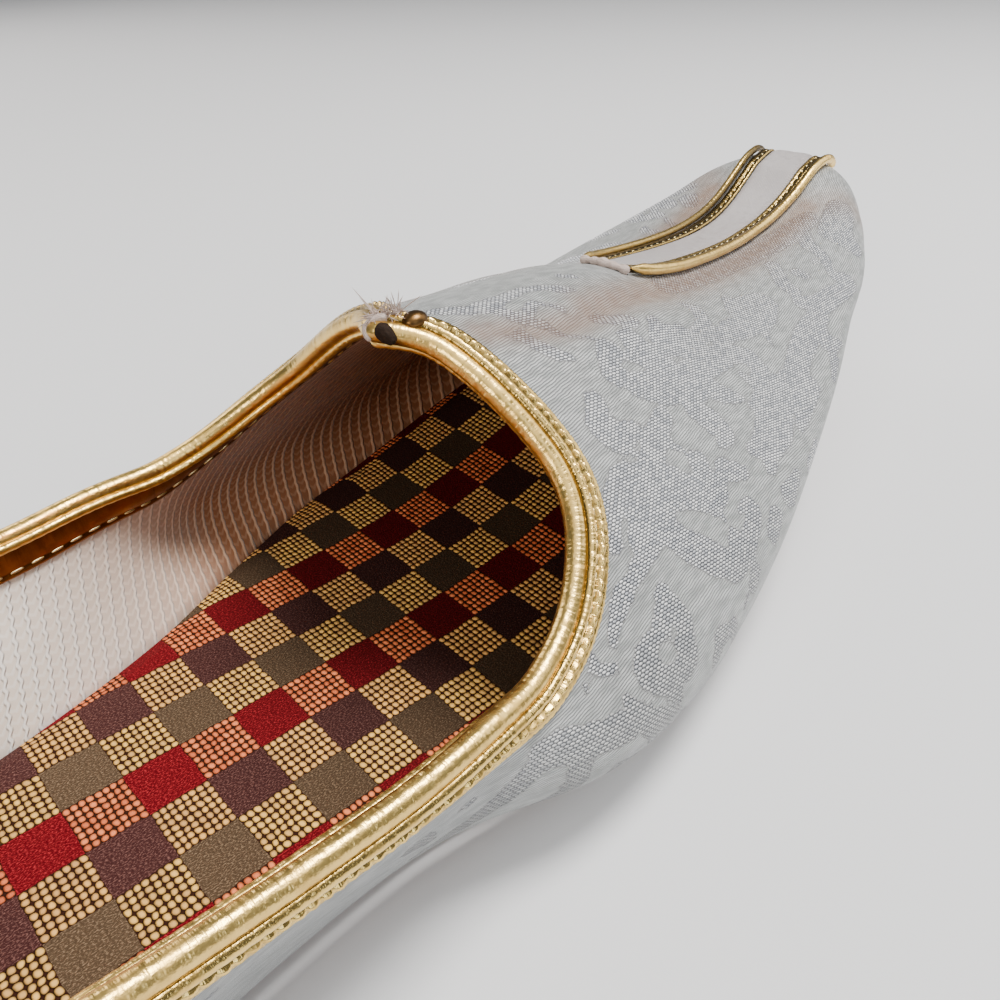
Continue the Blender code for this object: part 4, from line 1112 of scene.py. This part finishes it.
tuck_ring, tuck_rise = np.linspace(0, 2 * np.pi, 25), np.linspace(-np.pi / 2, np.pi / 2, 15)
tuck_round = np.cos(tuck_rise)[:, None]
tuck_ball = np.stack(np.broadcast_arrays(tuck_round * np.cos(tuck_ring), tuck_round * np.sin(tuck_ring),
                                         np.sin(tuck_rise)[:, None]), -1) * np.array(TUCK_SIZE) * MM
tuck_gold = gold_foil("tucked_end", 0.8, 0.00010, (0.16, 0.085, 0.03), (0.07, 0.035, 0.012), 0.32)
tuck_sheet = (throat_at + np.array(TUCK) * MM + tuck_ball, pairs(tuck_rise[:, None], tuck_ring))
sew("tucked_end", [tuck_sheet], tuck_gold)
# The open end of the cord is a near-black tube: painted shade inside the cut cord.
open_share = np.linspace(0, len(OPEN) - 1, 20)
open_line = throat_at + through(np.array(OPEN), open_share) * MM
open_radius = np.interp(open_share, np.arange(len(OPEN)), OPEN_RADIUS) * MM
open_end_shade = raw_cloth("open_end_painted_shade", 0.8, 0.15, 1.4, (1, 1, 1),
                     (0.005, 0.003, 0.002), (0.035, 0.018, 0.010), 0.0003)
sew("open_end", [loose_tube(open_line, open_radius, open_share * 1.2, 14)], open_end_shade)

fray_random = np.random.default_rng(4)
fray = []
for _ in range(FRAY_COUNT):
    root = throat_at + (np.array(FRAY_FROM) + (np.array(FRAY_TO) - FRAY_FROM) * fray_random.uniform()) * MM
    way, bend = fray_random.normal((-0.3, 0.0, 0.6), 0.5), fray_random.normal(0, 1.4, 3)
    reach, bow = np.linspace(0, 1, 9)[:, None], fray_random.uniform(0.4, 1.1) * MM
    hair = root + bow * (way * reach + bend * reach**2)
    fray.append(loose_tube(hair, 0.00008, reach[:, 0], 5, (0.31, 0.77, 0.2)))
sew("frayed_threads", fray, raw_end)

# Facing roll. The fold of the facing shows inside the piping as a thin second roll of the same foil,
# pulled in a little at each stitch.
roll_centre = piping_centre - rim_normal * (PIPING + 0.00025) + rim_down * 0.0004
roll_swell = 0.0007 * (1.0 + 0.10 * pucker(rim_length, 2.1, 15))
facing_roll = tube(roll_centre, piping_across, piping_rise, roll_swell, rim_length, 12)
sew("facing_roll", [facing_roll], piping_gold)

# Binding. A strip of gold foil leather sewn down outside the piping: a smooth roll, a stitched groove,
# a chain of puckers and a finely gathered edge. The columns of its profile are share of the depth, height
# in metres, share of the puckers, darkness of the hollow (painted shade) and share of the scallops.
BAND, BINDING_STITCH = 0.0034, 0.0023
BINDING_PROFILE = (
    (-0.16, 0.00020, 0.0, 1.0, 0), (-0.16, 0.00080, 0.0, 0.9, 0), (-0.08, 0.00112, 0.0, 0.35, 0),
    (0.02, 0.00132, 0.05, 0.0, 0), (0.13, 0.00130, 0.08, 0.0, 0), (0.23, 0.00105, 0.08, 0.1, 0),
    (0.31, 0.00066, 0.05, 0.6, 0), (0.38, 0.00040, 0.0, 1.0, 0), (0.45, 0.00050, 0.15, 0.6, 0),
    (0.52, 0.00068, 0.40, 0.0, 0), (0.60, 0.00080, 0.50, 0.0, 0), (0.68, 0.00070, 0.42, 0.1, 0),
    (0.76, 0.00048, 0.15, 0.75, 0.2), (0.84, 0.00058, 0.0, 0.35, 0.6), (0.93, 0.00062, 0.0, 0.0, 1),
    (1.00, 0.00044, 0.0, 0.25, 1), (1.03, 0.00008, 0.0, 0.8, 1))
band_gold = gold_foil("band_gold", 1.0, 0.00022)
thread_gold = gold_foil("thread_gold", 0.25, 0.00006, (1.0, 0.84, 0.46), rough=0.30)
binding_puckers = pucker(rim_length, 1.6, 5)
edge_scallops = 0.055 * pucker(rim_length, 0.95, 9)
binding_sheet = band_sheet(BAND, BINDING_PROFILE, binding_puckers, edge_scallops)
sew("binding", [binding_sheet], band_gold, ("topline_binding",))
groove_row, groove_up = band_rows(BAND, (0.38,))[0]
groove = skin(groove_row, groove_up, 0.00046) * rim_flip
groove_stitches = stitch_run(groove, rim_normal, BINDING_STITCH, 0.0013, 0.00036, 0.00036)
sew("binding_stitches", groove_stitches, thread_gold)

# Facing. The same strip turned to the inside and sewn to the lining with long pale stitches. It sits in
# the shade and mirrors the sock, so its gold is painted brown as shade and reflection.
# Its profile has the binding's columns.
FACING, FACING_STITCH = 0.0050, 0.0034
FACING_PROFILE = (
    (-0.12, 0.0000, 0, 1, 0), (-0.12, 0.0005, 0, 0.8, 0), (0.05, 0.00060, 0.05, 0.2, 0),
    (0.40, 0.00062, 0.12, 0, 0), (0.70, 0.00052, 0.10, 0.1, 0), (0.80, 0.00034, 0, 0.7, 0),
    (0.90, 0.00052, 0.08, 0.1, 0), (1.00, 0.00046, 0.05, 0.2, 0), (1.00, 0.0000, 0, 0.8, 0))
# The facing's gold is painted brown: painted shade and a painted reflection of the sock.
facing_gold = gold_foil("facing_gold", 1.1, 0.00012, (0.36, 0.15, 0.04), (0.17, 0.058, 0.018), 0.30)
facing_profile = tuple((a, WALL + 0.0001 + b, c, d, e) for a, b, c, d, e in FACING_PROFILE)
facing_sheet = band_sheet(FACING, facing_profile, pucker(rim_length, FACING_STITCH / MM, 7), sign=-1)
sew("facing", [facing_sheet], facing_gold, ("topline_facing",))
seam_row, seam_up = band_rows(FACING, (0.80,))[0]
seam = skin(seam_row, seam_up, -(WALL + 0.00055)) * rim_flip
seam_stitches = stitch_run(seam, -rim_normal, FACING_STITCH, 0.0022, 0.0005, 0.0004)
sew("facing_stitches", seam_stitches, thread_gold)

# Toe strip. A tongue of white satin laid from the vamp to the tip of the toe between two gold pipings,
# each with a narrow gold band sewn down beside it. The ends are turned over the lip of the toe.
STRIP = np.array((
    (0.679, 0.099), (0.705, 0.129), (0.741, 0.145), (0.803, 0.147), (0.856, 0.149), (0.895, 0.158),
    (0.934, 0.170), (0.967, 0.174), (0.990, 0.174), (0.998, 0.170)))
STRIP_PIPING, STRIP_BAND, STRIP_STITCH = 0.0011, 0.0021, 0.0027


def roof(x, y):
    """Row and share of the last's top face above plan points of its left half."""
    rows, ups = np.meshgrid(np.linspace(10, LAST_ROW, 500), np.linspace(0.3, 1, 160), indexing="ij")
    plan = last_point(rows, ups)[..., :2]
    row, up = np.empty(len(x)), np.empty(len(x))
    for k, place in enumerate(np.stack((x, y), 1)):
        nearest = np.unravel_index(((plan - place) ** 2).sum(-1).argmin(), rows.shape)
        row[k], up[k] = rows[nearest], ups[nearest]
    for _ in range(4):
        at = last_point(row, up)[:, :2]
        ahead = np.minimum(row + 0.01, LAST_ROW)
        by_row = last_point(ahead, up)[:, :2] - last_point(row - 0.01, up)[:, :2]
        by_row /= (ahead - row + 0.01)[:, None]
        by_up = (at - last_point(row, up - 0.002)[:, :2]) / 0.002
        miss = np.stack((x, y), 1) - at
        det = by_row[:, 0] * by_up[:, 1] - by_row[:, 1] * by_up[:, 0]
        det = np.where(np.abs(det) < 1e-9, np.inf, det)
        row_step = (miss[:, 0] * by_up[:, 1] - miss[:, 1] * by_up[:, 0]) / det
        up_step = (miss[:, 1] * by_row[:, 0] - miss[:, 0] * by_row[:, 1]) / det
        row = np.clip(row + np.clip(row_step, -0.02, 0.02), 0, LAST_ROW)
        up = np.clip(up + np.clip(up_step, -0.005, 0.005), 0.3, 1)
    return row, up


strip_share = np.concatenate((np.linspace(STRIP[0, 0], 0.95, 90), np.linspace(0.953, STRIP[-1, 0], 30)))
strip_x = strip_share * LENGTH
strip_half = along(STRIP, strip_share) * HALF_WIDTH


def strip_line(offset, height):
    """Line beside the strip's edge, raised off the vamp, with the vamp's normals."""
    row, up = roof(strip_x, np.maximum(strip_half + offset, 0))
    return skin(row, up, height), outward(row, up)


strip_centre, strip_normal = strip_line(0.0, GAP + STRIP_PIPING)
strip_ahead = unit(np.gradient(strip_centre, axis=0))
strip_across = unit(np.cross(strip_normal, strip_ahead))
strip_rise = np.cross(strip_ahead, strip_across)
strip_length = run_length(strip_centre) / MM
strip_edge = STRIP_PIPING + GAP
# Share across the band, height in metres, share of the puckers and darkness of the hollow, which is painted
# shade and dark reflection.
BAND_PROFILE = (
    (-0.12, 0.00005, 0, 1.0), (-0.12, 0.0006, 0, 1.0), (0.06, 0.00066, 0.1, 0.9),
    (0.22, 0.00066, 0.2, 0.75), (0.38, 0.00056, 0.2, 0.8), (0.50, 0.00038, 0.1, 1.0),
    (0.62, 0.00050, 0.3, 0.7), (0.76, 0.00055, 0.2, 0.2), (0.88, 0.00058, 0.2, 0.0),
    (0.97, 0.00040, 0.1, 0.0), (1.0, 0.00005, 0, 0.9))
band_pucker = pucker(strip_length, STRIP_STITCH / MM, 11)
band_lines, band_hollow = [], []
for share, height, swell, hollow in BAND_PROFILE:
    band_height = GAP + height + swell * band_pucker * 0.0003
    band_lines.append(strip_line(-strip_edge - share * STRIP_BAND, band_height)[0])
    band_hollow.append(np.clip(hollow + swell * (0.6 - band_pucker), 0, 1))
band_points = np.stack(band_lines + band_lines[:1], 1)
band_hollow = np.stack(band_hollow + band_hollow[:1], 1)
band_uv = pairs(strip_length[:, None], run_length(band_points[40]) / MM)
first_end, last_end = (np.repeat(ring.mean(1, keepdims=True), ring.shape[1], 1)
                       for ring in (band_points[:1], band_points[-1:]))
band_points = np.concatenate((first_end, band_points, last_end))        # the ends close to a point
band_uv = np.concatenate((band_uv[:1], band_uv, band_uv[-1:]))
band_hollow = np.concatenate((band_hollow[:1], band_hollow, band_hollow[-1:]))
seam_line, seam_normal = strip_line(-strip_edge - 0.48 * STRIP_BAND, GAP + 0.00042)
cord_radius = STRIP_PIPING * (0.98 + 0.03 * pucker(strip_length, 1.5, 13))
cord_radius *= np.clip(0.25 + strip_length / 5.0, 0, 1)
inner_flank = np.clip(-np.cos(np.linspace(0, 2 * np.pi, 15)) * 2.2 - 0.25, 0, 1)        # painted dark reflection on the cord's inner flank
cord_hollow = inner_flank * np.clip(strip_length / strip_length[-1] * 1.6, 0.15, 1)[:, None]
for side, turn in (("left", np.ones(3)), ("right", MIRROR)):
    order = slice(None) if side == "left" else slice(None, None, -1)
    slim = 1.0 if side == "right" else 0.78        # the far piping is the slimmer one
    # Painted shade: the far band is darker all over.
    band_dark = band_hollow if side == "right" else np.clip(band_hollow + 0.45, 0, 1)
    cord_points, cord_uv = tube(strip_centre, strip_across, strip_rise,
                                cord_radius * slim, strip_length, 14, False)
    cord_sheet = ((cord_points * turn)[:, order], cord_uv[:, order], {"hollow": cord_hollow[:, order]})
    band_strip = ((band_points * turn)[:, order], band_uv[:, order], {"hollow": band_dark[:, order]})
    stitches = stitch_run(seam_line * turn, seam_normal * turn, STRIP_STITCH, 0.0010, 0.0004, 0.0004)
    sew("strip_piping_" + side, [cord_sheet], piping_gold, ("toe_piping_" + side,))
    sew("strip_band_" + side, [band_strip], band_gold, ("toe_band_" + side,))
    sew("strip_stitches_" + side, stitches, thread_gold)

# Satin tongue of the strip, with the raw fold at its start on the vamp. The satin is white silk in a fine
# diagonal weave. It is turned under at the sides, and its cut start is rolled and tacked down.
TRIM = 0.0006           # thickness of the satin and its backing
SATIN_WHITE, SATIN_SHADE = (0.70, 0.65, 0.64), (0.26, 0.23, 0.225)
satin_finish, tree, shader = new_finish("strip_satin", 0.42)
place = cloth_place(tree)
satin_u, satin_v = split(tree, place)
satin_slant = plus(tree, times(tree, satin_u, 0.6), satin_v)
satin_ripple = reckon(tree, "SINE", times(tree, satin_slant, 2 * np.pi / 0.5))
satin_line = times(tree, plus(tree, satin_ripple, 1.0), 0.5)
satin_cloud = speckle(tree, place, 0.7, 4.0)
satin_glow = times(tree, satin_line, satin_cloud)
wire(tree, shader.inputs["Base Color"], dye(tree, satin_glow, SATIN_SHADE, SATIN_WHITE))
wire(tree, shader.inputs["Roughness"], ramp(tree, satin_cloud, 0.3, 0.7, 0.36, 0.5))
shader.inputs["Sheen Weight"].default_value = 0.15
relief(tree, shader, satin_glow, 0.00016)

fold_count = 40
fold_share = np.linspace(-1, 1, fold_count)
fold_y = fold_share * strip_half[0] * 1.05
fold_row, fold_up = roof(np.full(fold_count, strip_x[0]) - 0.0010 + 0.0008 * fold_share**2, np.abs(fold_y))
fold_flip = np.stack((np.ones(fold_count), np.where(fold_share < 0, -1.0, 1.0), np.ones(fold_count)), 1)
fold_line = skin(fold_row, fold_up, 0.0007) * fold_flip
fold_up_way = outward(fold_row, fold_up) * fold_flip
fold_ahead = unit(np.gradient(fold_line, axis=0))
fold_side = unit(np.cross(fold_up_way, fold_ahead))
fold_length = (fold_y - fold_y[0]) / MM
fold_roll = 0.0008 + 0.00022 * np.sin(fold_length * 2.1) * np.sin(fold_length * 0.9)
fold_tube = tube(fold_line, fold_side, fold_up_way, fold_roll, fold_length, 12, False)
sew("strip_fold", [fold_tube], raw_end)

panel_reach = strip_half - strip_edge - STRIP_BAND - GAP
panel_columns = []
for share in np.concatenate((np.linspace(1, 0, 9), -np.linspace(0, 1, 9)[1:])):
    row, up = roof(strip_x, panel_reach * abs(share))
    height = GAP + 0.00015 + TRIM * 0.7 * (1 - abs(share) ** 8)
    panel_columns.append(skin(row, up, height) * (MIRROR if share < 0 else 1))
panel_points = np.stack(panel_columns, 1)
panel_uv = pairs(strip_length[:, None], panel_points[..., 1] / MM)
sew("strip_panel", [(panel_points[:, ::-1], panel_uv[:, ::-1])], satin_finish, ("toe_panel",))
